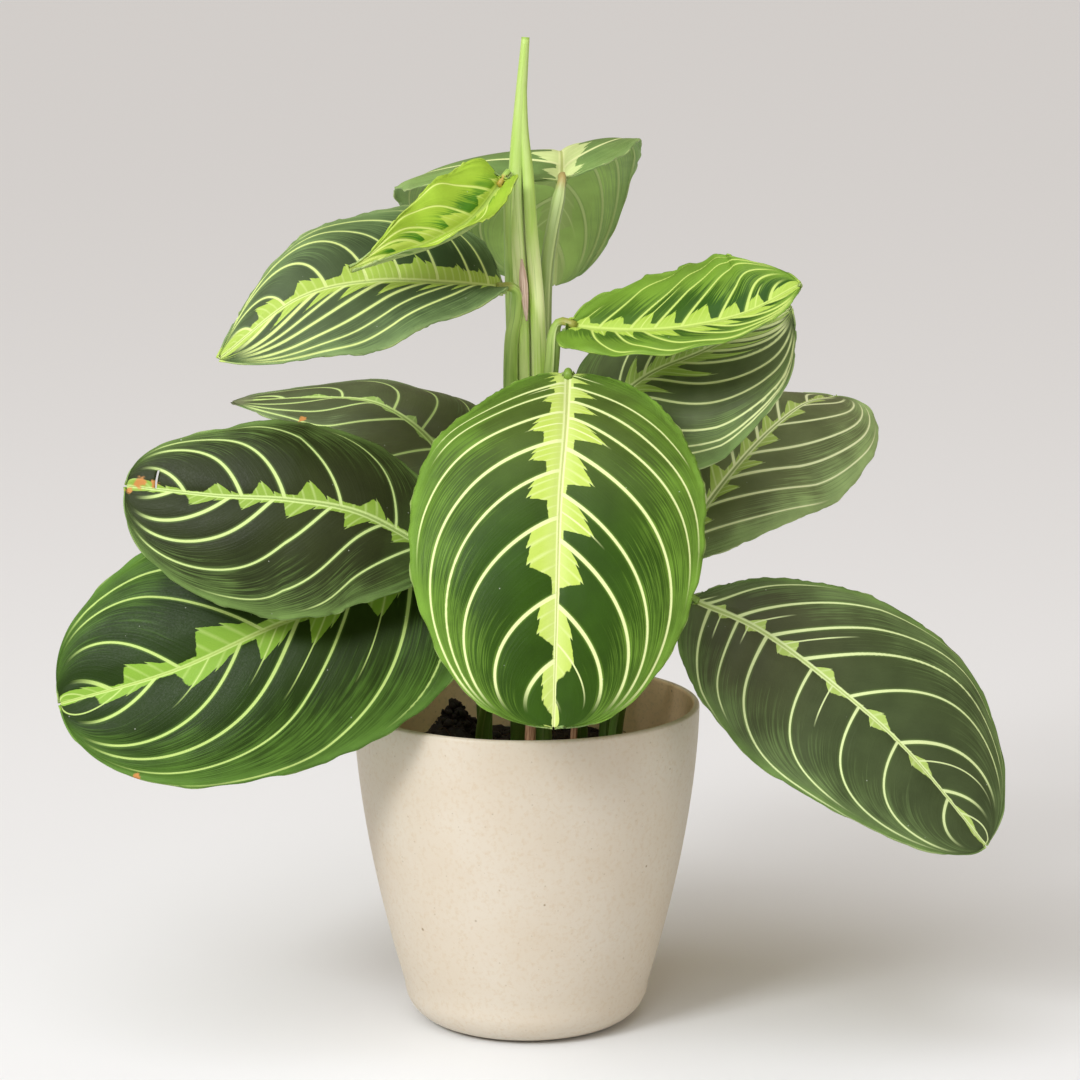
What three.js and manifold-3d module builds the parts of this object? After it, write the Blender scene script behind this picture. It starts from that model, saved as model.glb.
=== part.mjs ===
// A potted prayer plant: eleven broad veined leaves on slim stalks, in a round tapered planter.
// Millimetres, +Z up. The origin is the middle of the planter's flat base, -Y is the front.
import * as THREE from "three";
import { mergeVertices } from "three/addons/utils/BufferGeometryUtils.js";
import Module from "manifold-3d";

// Driving dimensions of the planter.
const RIM_RADIUS = 60;
const POT_HEIGHT = 112.5;
const SHOULDER_RADIUS = 42.8; // where the rounded foot runs into the wall
const FOOT_FILLET = 13;
const WALL = 2.4;
const FLOOR = 3.2;
const WALL_BOW = 1.7; // how early the wall swells out: 1 is a straight cone
const POT_SIDES = 44;
const ARC_STEPS = 4;
const WALL_STEPS = 7;

// Driving dimensions of the soil and the stems in it.
const SOIL_TOP = 92;
const MOUND_HEIGHT = 15;
const SWELL_HEIGHT = 1.2;
const EDGE_FALL = 2.4;
const HOLE_DEPTH = 22;
const CLEARANCE = 0.36;
const SOIL_GAP = 0.5; // between the soil and the planter's wall
const SOIL_SIDES = 28;

// Driving dimensions of the leaves.
const BLADE_THICKNESS = 0.9;
const BASE_HALF_WIDTH = 1.7; // half the width of a blade where its stalk meets it
const TIP_HALF_WIDTH = 0.5;
const BLADE_GAP = 0.6; // between the end of a stalk and its blade
const LEAD_IN = 5; // the straight end of a stalk, in line with its blade's midrib
const ROWS = 16;
const COLUMNS = 8;
const STALK_SIDES = 8;
const STALK_ROWS = 12;

const wasm = await Module();
wasm.setup();

const finishes = {
  planter: { color: "#e3d6c1", roughness: 0.55, metalness: 0 },
  soil: { color: "#2a211b", roughness: 1, metalness: 0 },
  matureLeaf: { color: "#2f5a30", roughness: 0.5, metalness: 0 },
  darkLeaf: { color: "#27402c", roughness: 0.5, metalness: 0 },
  youngLeaf: { color: "#7db32c", roughness: 0.45, metalness: 0 },
  stalk: { color: "#7fa046", roughness: 0.5, metalness: 0 },
  dried: { color: "#a3805a", roughness: 0.85, metalness: 0 },
};

// --- Shared helpers ------------------------------------------------------------------------

const vector = (p) => new THREE.Vector3(...p);

const curveThrough = (points) =>
  new THREE.CatmullRomCurve3(points.map(vector), false, "catmullrom", 0.5);

function named(name, geometry, finish) {
  const mesh = new THREE.Mesh(geometry, new THREE.MeshStandardMaterial(finishes[finish]));
  mesh.name = name;
  return mesh;
}

function toSolid(geometry) {
  const bare = new THREE.BufferGeometry();
  bare.setAttribute("position", geometry.getAttribute("position"));
  bare.setIndex(geometry.index);
  const merged = mergeVertices(bare, 1e-4);
  return new wasm.Manifold(
    new wasm.Mesh({
      numProp: 3,
      vertProperties: merged.attributes.position.array,
      triVerts: new Uint32Array(merged.index.array),
    }),
  );
}

function toGeometry(solid) {
  const mesh = solid.getMesh();
  const geometry = new THREE.BufferGeometry();
  geometry.setAttribute("position", new THREE.BufferAttribute(mesh.vertProperties, 3));
  geometry.setIndex(new THREE.BufferAttribute(mesh.triVerts, 1));
  geometry.computeVertexNormals();
  return geometry;
}

const union = (geometries) =>
  toGeometry(geometries.map(toSolid).reduce((joined, next) => joined.add(next)));

// --- Planter and soil ----------------------------------------------------------------------

// The outer wall's radius at a height above the rounded foot.
function wallRadius(z) {
  const rise = Math.min(1, Math.max(0, (z - FOOT_FILLET) / (POT_HEIGHT - FOOT_FILLET)));
  return RIM_RADIUS - (RIM_RADIUS - SHOULDER_RADIUS) * (1 - rise) ** WALL_BOW;
}

// Points of the rounded foot and the wall above it, from the base up to a height, inset by a gap.
function wallPoints(top, inset, bottom, steps) {
  const points = [];
  const fillet = FOOT_FILLET - inset;
  for (let i = 0; i <= ARC_STEPS; i++) {
    const a = (Math.PI / 2) * (i / ARC_STEPS);
    points.push([
      SHOULDER_RADIUS - FOOT_FILLET + fillet * Math.sin(a),
      bottom + (FOOT_FILLET - bottom) * (1 - Math.cos(a)),
    ]);
  }
  for (let i = 1; i <= steps; i++) {
    const z = FOOT_FILLET + (top - FOOT_FILLET) * (i / steps);
    points.push([wallRadius(z) - inset, z]);
  }
  return points;
}

function lathe(points, sides) {
  const profile = points.map(([r, z]) => new THREE.Vector2(r, z));
  return new THREE.LatheGeometry(profile, sides).rotateX(Math.PI / 2);
}

function planter() {
  const lip = WALL / 2;
  const outer = wallPoints(POT_HEIGHT - lip, 0, 0, WALL_STEPS);
  const inner = wallPoints(POT_HEIGHT - lip, WALL, FLOOR, WALL_STEPS).reverse();
  const crown = [0.25, 0.5, 0.75].map((t) => [
    RIM_RADIUS - lip + lip * Math.cos(Math.PI * t),
    POT_HEIGHT - lip + lip * Math.sin(Math.PI * t),
  ]);
  return lathe([[0, 0], ...outer, ...crown, ...inner, [0, FLOOR]], POT_SIDES);
}

// The soil's lumpy top: a mound at the left, low swells all over, and a slight fall to the wall.
function soilHeight(x, y) {
  const mound = MOUND_HEIGHT * Math.exp(-(((x + 25) / 12) ** 2) - ((y - 6) / 17) ** 2);
  const swell = SWELL_HEIGHT * Math.sin(x / 7 + 1) * Math.cos(y / 6);
  return SOIL_TOP + mound + swell - EDGE_FALL * ((x * x + y * y) / RIM_RADIUS ** 2);
}

// The soil fills the planter, with a plain hole for each stem that stands in it.
function soil(stems) {
  const wall = wallPoints(SOIL_TOP, WALL + SOIL_GAP, FLOOR + CLEARANCE, 4);
  const edge = wall[wall.length - 1][0];
  const rings = [0.8, 0.6, 0.4, 0.2].map((t) => [edge * t, SOIL_TOP]);
  const plug = lathe([[0, FLOOR + CLEARANCE], ...wall, ...rings, [0, SOIL_TOP]], SOIL_SIDES);
  const at = plug.getAttribute("position");
  for (let i = 0; i < at.count; i++) {
    if (at.getZ(i) > SOIL_TOP - 0.01) at.setZ(i, soilHeight(at.getX(i), at.getY(i)));
  }
  const holes = stems.map(({ path: [foot, ...rest], radii }) => {
    const deeper = [[foot[0], foot[1], foot[2] - CLEARANCE], ...rest];
    return toSolid(stalkGeometry(deeper, radii.map((radius) => radius + CLEARANCE)));
  });
  return toGeometry(holes.reduce((left, hole) => left.subtract(hole), toSolid(plug)));
}

// --- Stalks --------------------------------------------------------------------------------

// A tapering tube along a path, closed at both ends. Its radii are spread evenly along the path.
function stalkGeometry(path, radii, rows = STALK_ROWS) {
  const curve = curveThrough(path);
  const frames = curve.computeFrenetFrames(rows, false);
  const profile = [new THREE.Vector2(0, 0)];
  for (let i = 0; i <= rows; i++) profile.push(new THREE.Vector2(radiusAt(radii, i / rows), i));
  profile.push(new THREE.Vector2(0, rows));
  const geometry = new THREE.LatheGeometry(profile, STALK_SIDES);
  const at = geometry.getAttribute("position");
  for (let i = 0; i < at.count; i++) {
    const row = Math.round(at.getY(i));
    const across = frames.normals[row].clone().multiplyScalar(at.getZ(i));
    const aside = frames.binormals[row].clone().multiplyScalar(at.getX(i));
    const point = curve.getPointAt(row / rows).add(across).add(aside);
    at.setXYZ(i, point.x, point.y, point.z);
  }
  return geometry;
}

function radiusAt(radii, t) {
  const place = t * (radii.length - 1);
  const i = Math.min(Math.floor(place), radii.length - 2);
  return THREE.MathUtils.lerp(radii[i], radii[i + 1], place - i);
}

// --- Leaves --------------------------------------------------------------------------------

// A leaf's blade. rib: points of the midrib from base to tip. faces: which way the upper side
// looks at the base, the middle and the tip. halves: the widths left and right of the midrib,
// seen from above with the tip ahead. widest: where each half is broadest, from base 0 to tip 1.
// fullness: how pointed the base and the tip are, lower being rounder. fold: how steeply both
// halves rise from the midrib, at the base and the tip, and bend: how far each curls from there
// to its margin, in degrees. lobe: how far the base's shoulders reach back. waves and wave: the
// count and height of the margin's ripples.
class Blade {
  constructor({
    rib, faces, halves, widest = [0.46, 0.46], fullness = [0.5, 0.45], fold = [6, 6], bend = -40,
    lobe = 10, waves = 3, wave = 1.2,
  }) {
    Object.assign(this, { halves, widest, fullness, lobe, waves, wave });
    this.curve = curveThrough(rib);
    this.faces = faces.map((p) => vector(p).normalize());
    this.fold = fold.map(THREE.MathUtils.degToRad);
    this.bend = THREE.MathUtils.degToRad(bend);
  }

  // Three axes at a place on the midrib: ahead to the tip, right, and up from the upper side.
  axes(u) {
    const ahead = this.curve.getTangent(u);
    const [base, middle, tip] = this.faces;
    const up = u < 0.5 ? base.clone().lerp(middle, 2 * u) : middle.clone().lerp(tip, 2 * u - 1);
    up.addScaledVector(ahead, -up.dot(ahead)).normalize();
    return { ahead, right: ahead.clone().cross(up), up };
  }

  // The half width at a place on the midrib, as a share of the widest.
  breadth(u, side) {
    const round = Math.sin(Math.PI * u ** (Math.log(0.5) / Math.log(this.widest[side])));
    return Math.max(0, round) ** THREE.MathUtils.lerp(...this.fullness, u);
  }

  // A point of the blade's middle surface, v from -1 at the left margin to 1 at the right.
  surface(u, v) {
    const { ahead, right, up } = this.axes(u);
    const side = v < 0 ? 0 : 1;
    const breadth = this.breadth(u, side);
    const end = THREE.MathUtils.lerp(BASE_HALF_WIDTH, TIP_HALF_WIDTH, u);
    const along = Math.abs(v) * (end + (this.halves[side] - end) * breadth);
    const fold = THREE.MathUtils.lerp(...this.fold, u);
    const turn = this.bend / this.halves[side];
    const turned = fold + turn * along;
    const ripple = this.wave * v * v * breadth * Math.sin(2 * Math.PI * (this.waves * u + 0.3 * side));
    return this.curve
      .getPoint(u)
      .addScaledVector(right, (Math.sign(v) * (Math.sin(turned) - Math.sin(fold))) / turn)
      .addScaledVector(up, (Math.cos(fold) - Math.cos(turned)) / turn + ripple)
      .addScaledVector(ahead, -this.lobe * v * v * breadth * (1 - u) ** 2);
  }

  geometry() {
    const sheet = new THREE.PlaneGeometry(2, 1, COLUMNS, ROWS);
    const flat = sheet.getAttribute("position");
    const middle = [];
    for (let i = 0; i < flat.count; i++) {
      const u = (1 - Math.cos(Math.PI * (flat.getY(i) + 0.5))) / 2;
      middle.push(this.surface(u, flat.getX(i)));
    }
    const bent = new THREE.BufferGeometry().setFromPoints(middle).setIndex(sheet.index);
    bent.computeVertexNormals();
    return thickened(bent, BLADE_THICKNESS);
  }
}

// A closed body from an open grid: the grid moved out both ways along its normals, with the
// same triangles on both faces, and a wall round the edge.
function thickened(grid, thickness) {
  const at = grid.getAttribute("position");
  const normal = grid.getAttribute("normal");
  const points = [];
  for (const side of [0.5, -0.5]) {
    for (let i = 0; i < at.count; i++) {
      const offset = new THREE.Vector3().fromBufferAttribute(normal, i);
      points.push(new THREE.Vector3().fromBufferAttribute(at, i).addScaledVector(offset, side * thickness));
    }
  }
  const faces = [];
  const above = Array.from(grid.index.array);
  for (let i = 0; i < above.length; i += 3) {
    const [a, b, c] = above.slice(i, i + 3);
    faces.push(a, b, c, a + at.count, c + at.count, b + at.count);
  }
  const edges = new Map();
  for (let i = 0; i < above.length; i += 3) {
    for (const [p, q] of [[0, 1], [1, 2], [2, 0]]) {
      const [from, to] = [above[i + p], above[i + q]];
      if (!edges.delete(`${to},${from}`)) edges.set(`${from},${to}`, [from, to]);
    }
  }
  for (const [from, to] of edges.values()) {
    faces.push(from, from + at.count, to + at.count, from, to + at.count, to);
  }
  const body = new THREE.BufferGeometry().setFromPoints(points).setIndex(faces);
  body.computeVertexNormals();
  return body;
}

const leaves = {
  leaf_front: {
    finish: "matureLeaf",
    rib: [[14, -28, 230], [13, -58, 217], [11, -78, 195], [10, -92, 163], [9, -100, 127]],
    faces: [[0, -0.5, 0.85], [0, -0.85, 0.5], [0, -1, 0]],
    halves: [49, 50],
    widest: [0.53, 0.56],
    fullness: [0.5, 0.4],
    bend: -30,
    lobe: 6,
  },
  leaf_left_middle: {
    finish: "darkLeaf",
    rib: [[-30, -48, 174], [-54, -54, 188], [-77, -58, 193], [-101, -56, 194], [-131, -49, 196]],
    faces: [[0, -0.7, 0.7], [0, -0.9, 0.45], [-0.3, -0.9, 0.4]],
    halves: [41, 34],
    widest: [0.53, 0.43],
    bend: -50,
  },
  leaf_left_low: {
    finish: "matureLeaf",
    rib: [[-25, -30, 169], [-52, -40, 159], [-83, -48, 149], [-117, -50, 134], [-155, -46, 122]],
    faces: [[-0.2, -0.75, 0.6], [-0.3, -0.9, 0.3], [-0.5, -0.8, 0.2]],
    halves: [50, 49],
    widest: [0.48, 0.61],
    fold: [8, 8],
    bend: -35,
  },
  leaf_left_back: {
    finish: "darkLeaf",
    rib: [[-25, 5, 193], [-37, 12, 206], [-53, 22, 214], [-74, 34, 214], [-104, 44, 211]],
    faces: [[-0.4, -0.4, 0.8], [0, -0.4, 0.9], [-0.3, -0.1, 0.9]],
    halves: [34, 32],
    widest: [0.38, 0.26],
    fullness: [0.5, 0.8],
    bend: -50,
  },
  leaf_upper_left: {
    finish: "darkLeaf",
    rib: [[-8, -8, 257], [-25, -20, 260], [-51, -34, 262], [-75, -44, 257], [-100, -48, 238]],
    faces: [[-0.1, -0.5, 0.85], [0, -0.72, 0.7], [-0.4, -0.9, 0.4]],
    halves: [30, 30],
    widest: [0.58, 0.3],
    fullness: [0.5, 0.85],
    fold: [30, -6],
    bend: -12,
    lobe: 0,
  },
  leaf_young_folded: {
    finish: "youngLeaf",
    rib: [[-8, -4, 292], [-18, -18, 281], [-31, -30, 274.5], [-44, -40, 271], [-57, -46, 267]],
    faces: [[0, -0.54, 0.84], [0, -0.54, 0.84], [0, -0.54, 0.84]],
    halves: [12, 17.5],
    widest: [0.3, 0.3],
    fullness: [0.5, 1.6],
    fold: [48, 48],
    bend: -20,
    lobe: 4,
  },
  leaf_top_back: {
    finish: "matureLeaf",
    rib: [[12, 10, 292], [12, 32, 300], [11, 58, 296], [11, 80, 276], [10, 90, 248]],
    faces: [[-0.17, 0, 1], [-0.17, 0.3, 1], [-0.1, 1, 0.2]],
    halves: [61, 30],
    fold: [10, 10],
    bend: -30,
    lobe: 0,
  },
  leaf_young_right: {
    finish: "youngLeaf",
    rib: [[15, -14, 245], [33, -24, 245], [52, -32, 247], [72, -36, 252], [90, -34, 261]],
    faces: [[0, -0.5, 0.85], [0, -0.5, 0.85], [0, -0.6, 0.8]],
    halves: [35, 16],
    widest: [0.5, 0.34],
    fullness: [0.5, 0.6],
    fold: [10, 10],
    bend: -15,
    lobe: 6,
    waves: 5,
    wave: 0.8,
  },
  leaf_right_upper: {
    finish: "darkLeaf",
    rib: [[20, 12, 206], [40, 4, 225], [59, -6, 235], [75, -10, 243], [89, -10, 250]],
    faces: [[0, -0.6, 0.7], [0, -0.7, 0.6], [0.2, -0.7, 0.6]],
    halves: [34, 43],
    widest: [0.42, 0.3],
    fullness: [0.5, 0.6],
  },
  leaf_right_back: {
    finish: "darkLeaf",
    rib: [[50, 6, 162], [66, 14, 184], [82, 28, 200], [98, 50, 209], [112, 80, 208]],
    faces: [[0, -0.7, 0.7], [0.2, -0.6, 0.8], [0.1, 0, 1]],
    halves: [34, 36],
    widest: [0.46, 0.6],
    fullness: [0.5, 0.6],
    lobe: 2,
  },
  leaf_right_low: {
    finish: "darkLeaf",
    rib: [[56, -34, 155], [78, -40, 146], [102, -46, 129], [127, -50, 107], [154, -48, 74]],
    faces: [[0, -0.7, 0.7], [0.3, -0.9, 0.4], [0.5, -0.8, 0.3]],
    halves: [47, 38],
    widest: [0.7, 0.52],
    fullness: [0.5, 0.55],
    lobe: 14,
  },
};

// --- Stems ---------------------------------------------------------------------------------

// The stem of each side leaf, from its hole in the soil to the blade. Its last points lead
// into the blade's midrib.
const petioles = {
  petiole_front: {
    leaf: "leaf_front",
    path: [[6, -10, 104], [8, -9, 150], [11, -9, 195], [13, -14, 222]],
    radii: [2.8, 2.4, 2, 1.9, 2],
  },
  petiole_left_middle: {
    leaf: "leaf_left_middle",
    path: [[-15, -14, 104], [-10, -29, 132], [-12, -43, 157]],
    radii: [3, 2.4, 2, 1.9, 2],
  },
  petiole_left_low: {
    leaf: "leaf_left_low",
    path: [[-14, -5, 104], [-13, -10, 135], [-13, -20, 160]],
    radii: [3, 2.4, 2, 1.9, 2],
  },
  petiole_left_back: {
    leaf: "leaf_left_back",
    path: [[-15, 5, 104], [-18, 7, 140], [-21, 4, 175]],
    radii: [2.6, 2.2, 1.9, 1.8, 1.9],
  },
  petiole_right_upper: {
    leaf: "leaf_right_upper",
    path: [[19, 14, 104], [17, 17, 150], [16, 16, 188]],
    radii: [2.8, 2.4, 2, 1.9, 2],
  },
  petiole_right_back: {
    leaf: "leaf_right_back",
    path: [[28, 10, 104], [33, 8, 130], [41, 5, 152]],
    radii: [2.8, 2.4, 2, 1.9, 2],
  },
  petiole_right_low: {
    leaf: "leaf_right_low",
    path: [[31, -6, 104], [37, -14, 128], [45, -26, 148]],
    radii: [3, 2.6, 2.1, 1.9, 2],
  },
};

// The main shoot is one body: sheathed leaf stalks that wrap each other, and the rolled new leaf.
const shoot = {
  sheath_left: {
    leaf: "leaf_upper_left",
    path: [[-2, 2, 104], [-3.5, 2, 160], [-5.2, 2, 210], [-5.2, 2, 236], [-3.5, 0, 248]],
    radii: [3.8, 3.4, 2.8, 2.5, 2.4, 2],
  },
  sheath_behind: {
    leaf: "leaf_young_folded",
    path: [[-1, 5, 104], [-3, 6, 160], [-4, 6, 220], [-5, 5, 255], [-5.5, 3, 280]],
    radii: [3.4, 3.2, 2.6, 2.4, 2.1, 1.9],
  },
  stalk_back: {
    leaf: "leaf_top_back",
    path: [[3, 8, 104], [4, 7.5, 160], [6.2, 7.5, 225], [7.2, 8, 262]],
    radii: [3, 2.8, 2.3, 2.1, 1.9],
  },
  stalk_young_right: {
    leaf: "leaf_young_right",
    path: [[6, 2, 104], [7, 1, 170], [8, -4, 215], [9, -8, 232]],
    radii: [3, 2.8, 2.6, 2.4, 1.8],
  },
};

// The two folds of the rolled new leaf, which wind round each other up to its point.
const rolledLeaf = [
  {
    path: [
      [0, 4, 104], [-1, 4, 215], [-1.5, 3.5, 245], [-3.2, 3, 275], [-3.6, 3, 292], [-1.9, 3.2, 318],
      [-0.2, 4, 340],
    ],
    radii: [3.6, 3.2, 2.8, 2.6, 2.5, 2.6, 2.6, 2.3, 1.3],
  },
  {
    path: [
      [3, 3, 104], [4.2, 1, 185], [4.4, 0, 222], [3.5, 0.5, 251], [1.6, 1, 275], [0.6, 1.7, 293],
      [-0.8, 2.2, 310], [-0.9, 2.8, 327],
    ],
    radii: [3.4, 3, 2.7, 2.7, 2.6, 2.5, 2.1, 1.1],
  },
];

// Withered stumps of old stalks.
const driedStalks = {
  dried_stalk_front: { path: [[1, -33, 98], [1.5, -32, 118]], radii: [1.8, 1.8, 1.5] },
  dried_stalk_right: { path: [[16, -27, 98], [17, -26, 119]], radii: [1.4, 1.3, 1.1] },
};

// A stem with its whole path: down into its hole, and up to the gap in front of its blade.
function planted({ leaf, path, radii }) {
  const [foot] = path;
  const whole = [[foot[0], foot[1], SOIL_TOP - HOLE_DEPTH], ...path];
  if (leaf) {
    const rib = curveThrough(leaves[leaf].rib);
    for (const back of [LEAD_IN, BLADE_GAP]) {
      whole.push(rib.getPoint(0).addScaledVector(rib.getTangent(0), -back).toArray());
    }
  }
  return { path: whole, radii };
}

const stalks = Object.fromEntries(
  Object.entries({ ...petioles, ...driedStalks }).map(([name, part]) => [name, planted(part)]),
);
const shootParts = [...Object.values(shoot), ...rolledLeaf].map(planted);

const plant = new THREE.Group();
plant.add(named("pot", planter(), "planter"));
plant.add(named("soil", soil([...Object.values(stalks), ...shootParts]), "soil"));
plant.add(named("main_shoot", union(shootParts.map((p) => stalkGeometry(p.path, p.radii))), "stalk"));
for (const [name, { path, radii }] of Object.entries(stalks)) {
  plant.add(named(name, stalkGeometry(path, radii), name in driedStalks ? "dried" : "stalk"));
}
for (const [name, { finish, ...shape }] of Object.entries(leaves)) {
  plant.add(named(name, new Blade(shape).geometry(), finish));
}

export default plant;
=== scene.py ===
"""A potted prayer plant: eleven veined leaves and a rolled shoot in a cream planter.

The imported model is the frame, in metres with +Z up. The plant's own measures are in
millimetres, and the places of its ribs and stalks repeat those of the solids.
"""

import logging
import math
from collections.abc import Sequence
from dataclasses import dataclass, replace
from enum import Enum

import bmesh
import bpy
import numpy as np
from mathutils import Matrix, Vector


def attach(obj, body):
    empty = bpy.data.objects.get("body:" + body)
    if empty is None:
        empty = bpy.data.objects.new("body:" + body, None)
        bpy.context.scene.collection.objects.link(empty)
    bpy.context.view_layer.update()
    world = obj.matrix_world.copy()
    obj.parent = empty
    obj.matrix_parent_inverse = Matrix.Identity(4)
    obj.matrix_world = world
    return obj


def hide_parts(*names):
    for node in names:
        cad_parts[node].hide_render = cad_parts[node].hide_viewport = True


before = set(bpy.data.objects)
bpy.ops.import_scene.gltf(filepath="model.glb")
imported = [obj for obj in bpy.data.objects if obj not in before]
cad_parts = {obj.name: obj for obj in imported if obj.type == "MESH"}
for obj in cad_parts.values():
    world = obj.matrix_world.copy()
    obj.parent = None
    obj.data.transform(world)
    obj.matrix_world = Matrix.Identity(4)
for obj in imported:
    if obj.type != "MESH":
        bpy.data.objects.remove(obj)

MM = 0.001
TURN = 2 * math.pi
BODY = "root"

Point = tuple[float, float, float]
Socket = bpy.types.NodeSocket
Skin = bpy.types.Material
Piece = bpy.types.Object
Kind = tuple[str, int, dict[str, str]]  # a node's type, its usual output and its settings

PLUS, MINUS, TIMES, OVER, POWER, TIMES_PLUS, LEAST, MOST, ABOVE, SIZE, WHOLE, PART, NEAREST = (
    ("ShaderNodeMath", 0, {"operation": name})
    for name in ("ADD", "SUBTRACT", "MULTIPLY", "DIVIDE", "POWER", "MULTIPLY_ADD", "MINIMUM",
                 "MAXIMUM", "GREATER_THAN", "ABSOLUTE", "FLOOR", "FRACT", "ROUND")
)
RANGE: Kind = ("ShaderNodeMapRange", 0, {})
SMOOTH: Kind = ("ShaderNodeMapRange", 0, {"interpolation_type": "SMOOTHSTEP"})
MIX: Kind = ("ShaderNodeMix", 2, {"data_type": "RGBA"})
HUE: Kind = ("ShaderNodeHueSaturation", 0, {})
COMBINE: Kind = ("ShaderNodeCombineXYZ", 0, {})
SEPARATE: Kind = ("ShaderNodeSeparateXYZ", 0, {})
LENGTH: Kind = ("ShaderNodeVectorMath", 1, {"operation": "LENGTH"})
NOISE: Kind = ("ShaderNodeTexNoise", 0, {})
CHANCE: Kind = ("ShaderNodeTexWhiteNoise", 0, {"noise_dimensions": "3D"})
CELLS: Kind = ("ShaderNodeTexVoronoi", 0, {})
BUMP: Kind = ("ShaderNodeBump", 0, {})
PLACE: Kind = ("ShaderNodeTexCoord", 3, {})  # object coordinates, in metres
UV_MAP: Kind = ("ShaderNodeUVMap", 0, {})

log = logging.getLogger("prayer_plant")


# --- Shared helpers ------------------------------------------------------------------------


def colour(code: str) -> tuple[float, ...]:
    """Turns an sRGB hex colour into the linear one that shaders take.

    Args:
        code: The colour, such as "#e3d6c1".

    Returns:
        Linear red, green, blue and an alpha of 1.
    """
    shares = [int(code[i : i + 2], 16) / 255 for i in (1, 3, 5)]
    linear = [c / 12.92 if c <= 0.04045 else ((c + 0.055) / 1.055) ** 2.4 for c in shares]
    return (*linear, 1.0)


class Paint:
    """A new material with a Principled shader, and the way nodes are added to it.

    Wherever it takes a value, that is a number, a socket or a hex colour.
    """

    def __init__(self, name: str, **constants: float | str) -> None:
        """Makes the material.

        Args:
            name: What the finish is.
            constants: Values set directly on the shader, by input name with _ for a space.
        """
        self.material = bpy.data.materials.new(name)
        self.material.use_nodes = True
        self.tree = self.material.node_tree
        self.shader = self.tree.nodes["Principled BSDF"]
        self._fill(self.shader, constants)

    def _fill(self, node: bpy.types.Node, values: dict) -> None:
        """Links or sets a node's inputs.

        Args:
            node: The node.
            values: What each input takes, by number or by name with _ for a space.
        """
        for key, value in values.items():
            socket = node.inputs[key.replace("_", " ") if isinstance(key, str) else key]
            if isinstance(value, Socket):
                self.tree.links.new(value, socket)
            else:
                socket.default_value = colour(value) if isinstance(value, str) else value

    def add(
        self, kind: Kind, inputs: Sequence | dict = (), output: int | None = None, **settings: str
    ) -> Socket:
        """Adds a node with its settings and links.

        Args:
            kind: What it is.
            inputs: Values for its inputs, in order or by name.
            output: Which output to return, if not the usual one.
            settings: The node's other properties.

        Returns:
            The output socket.
        """
        name, usual, fixed = kind
        node = self.tree.nodes.new(name)
        for key, value in {**fixed, **settings}.items():
            setattr(node, key, value)
        self._fill(node, inputs if isinstance(inputs, dict) else dict(enumerate(inputs)))
        return node.outputs[usual if output is None else output]

    def chart(self, name: str) -> tuple[Socket, Socket, Socket]:
        """A UV map as a whole, and its two numbers."""
        spot = self.add(UV_MAP, uv_map=name)
        return spot, self.add(SEPARATE, [spot], 0), self.add(SEPARATE, [spot], 1)

    def coats(self, shade: Socket | str, *coats: tuple[Socket, Socket | str]) -> Socket:
        """Lays coats over a colour, one after the other.

        Args:
            shade: The colour below.
            coats: How much each coat covers, and its colour.

        Returns:
            The colour on top.
        """
        for share, over in coats:
            shade = self.add(MIX, {0: share, 6: shade, 7: over})
        return shade

    def wear(self, **values: Socket) -> Skin:
        """Links the shader's inputs, by name with _ for a space, and returns the material."""
        self._fill(self.shader, values)
        return self.material


def unit(vectors: np.ndarray) -> np.ndarray:
    """Scales each row to length 1."""
    return vectors / np.maximum(np.linalg.norm(vectors, axis=-1, keepdims=True), 1e-12)


class Course:
    """A smooth line through points, which leaves and stalks follow, as the solids do."""

    def __init__(self, points: Sequence[Point]) -> None:
        """Keeps the points with one mirrored beyond each end, and measures the line.

        Args:
            points: Places in millimetres.
        """
        inner = np.array(points, float)
        before, after = 2 * inner[0] - inner[1], 2 * inner[-1] - inner[-2]
        self.points = np.vstack([before, inner, after])
        self.spans = len(inner) - 1
        self.fine = np.linspace(0, 1, 600)
        steps = np.linalg.norm(np.diff(self.at(self.fine), axis=0), axis=1)
        self.run = np.concatenate([[0], np.cumsum(steps)])
        self.length = float(steps.sum())

    def at(self, t: np.ndarray) -> np.ndarray:
        """Finds places along the line.

        Args:
            t: Shares of its parameter, 0 to 1.

        Returns:
            One row of x, y, z for each share.
        """
        place = np.clip(t, 0, 1) * self.spans
        span = np.minimum(place.astype(int), self.spans - 1)
        w = (place - span)[:, None]
        p0, p1, p2, p3 = (self.points[span + k] for k in range(4))
        leave, arrive = (p2 - p0) / 2, (p3 - p1) / 2
        near = (2 * w**3 - 3 * w**2 + 1) * p1 + (w**3 - 2 * w**2 + w) * leave
        return near + (3 * w**2 - 2 * w**3) * p2 + (w**3 - w**2) * arrive

    def ahead(self, t: np.ndarray) -> np.ndarray:
        """Unit directions along the line at shares of its parameter."""
        return unit(self.at(np.minimum(t + 1e-4, 1)) - self.at(np.maximum(t - 1e-4, 0)))

    def evenly(self, shares: np.ndarray) -> np.ndarray:
        """Parameters that lie at shares of the line's true length."""
        return np.interp(shares * self.run[-1], self.run, self.fine)


def settled(mesh: bmesh.types.BMesh, data: bpy.types.Mesh | None = None) -> bpy.types.Mesh:
    """Writes a bmesh to a mesh and frees it.

    Args:
        mesh: The finished bmesh.
        data: The mesh to write, or none for a new one.

    Returns:
        The mesh.
    """
    data = data or bpy.data.meshes.new("mesh")
    mesh.to_mesh(data)
    mesh.free()
    return data


def show(thing: Piece) -> Piece:
    """Links a new object to the scene."""
    bpy.context.scene.collection.objects.link(thing)
    return thing


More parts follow.
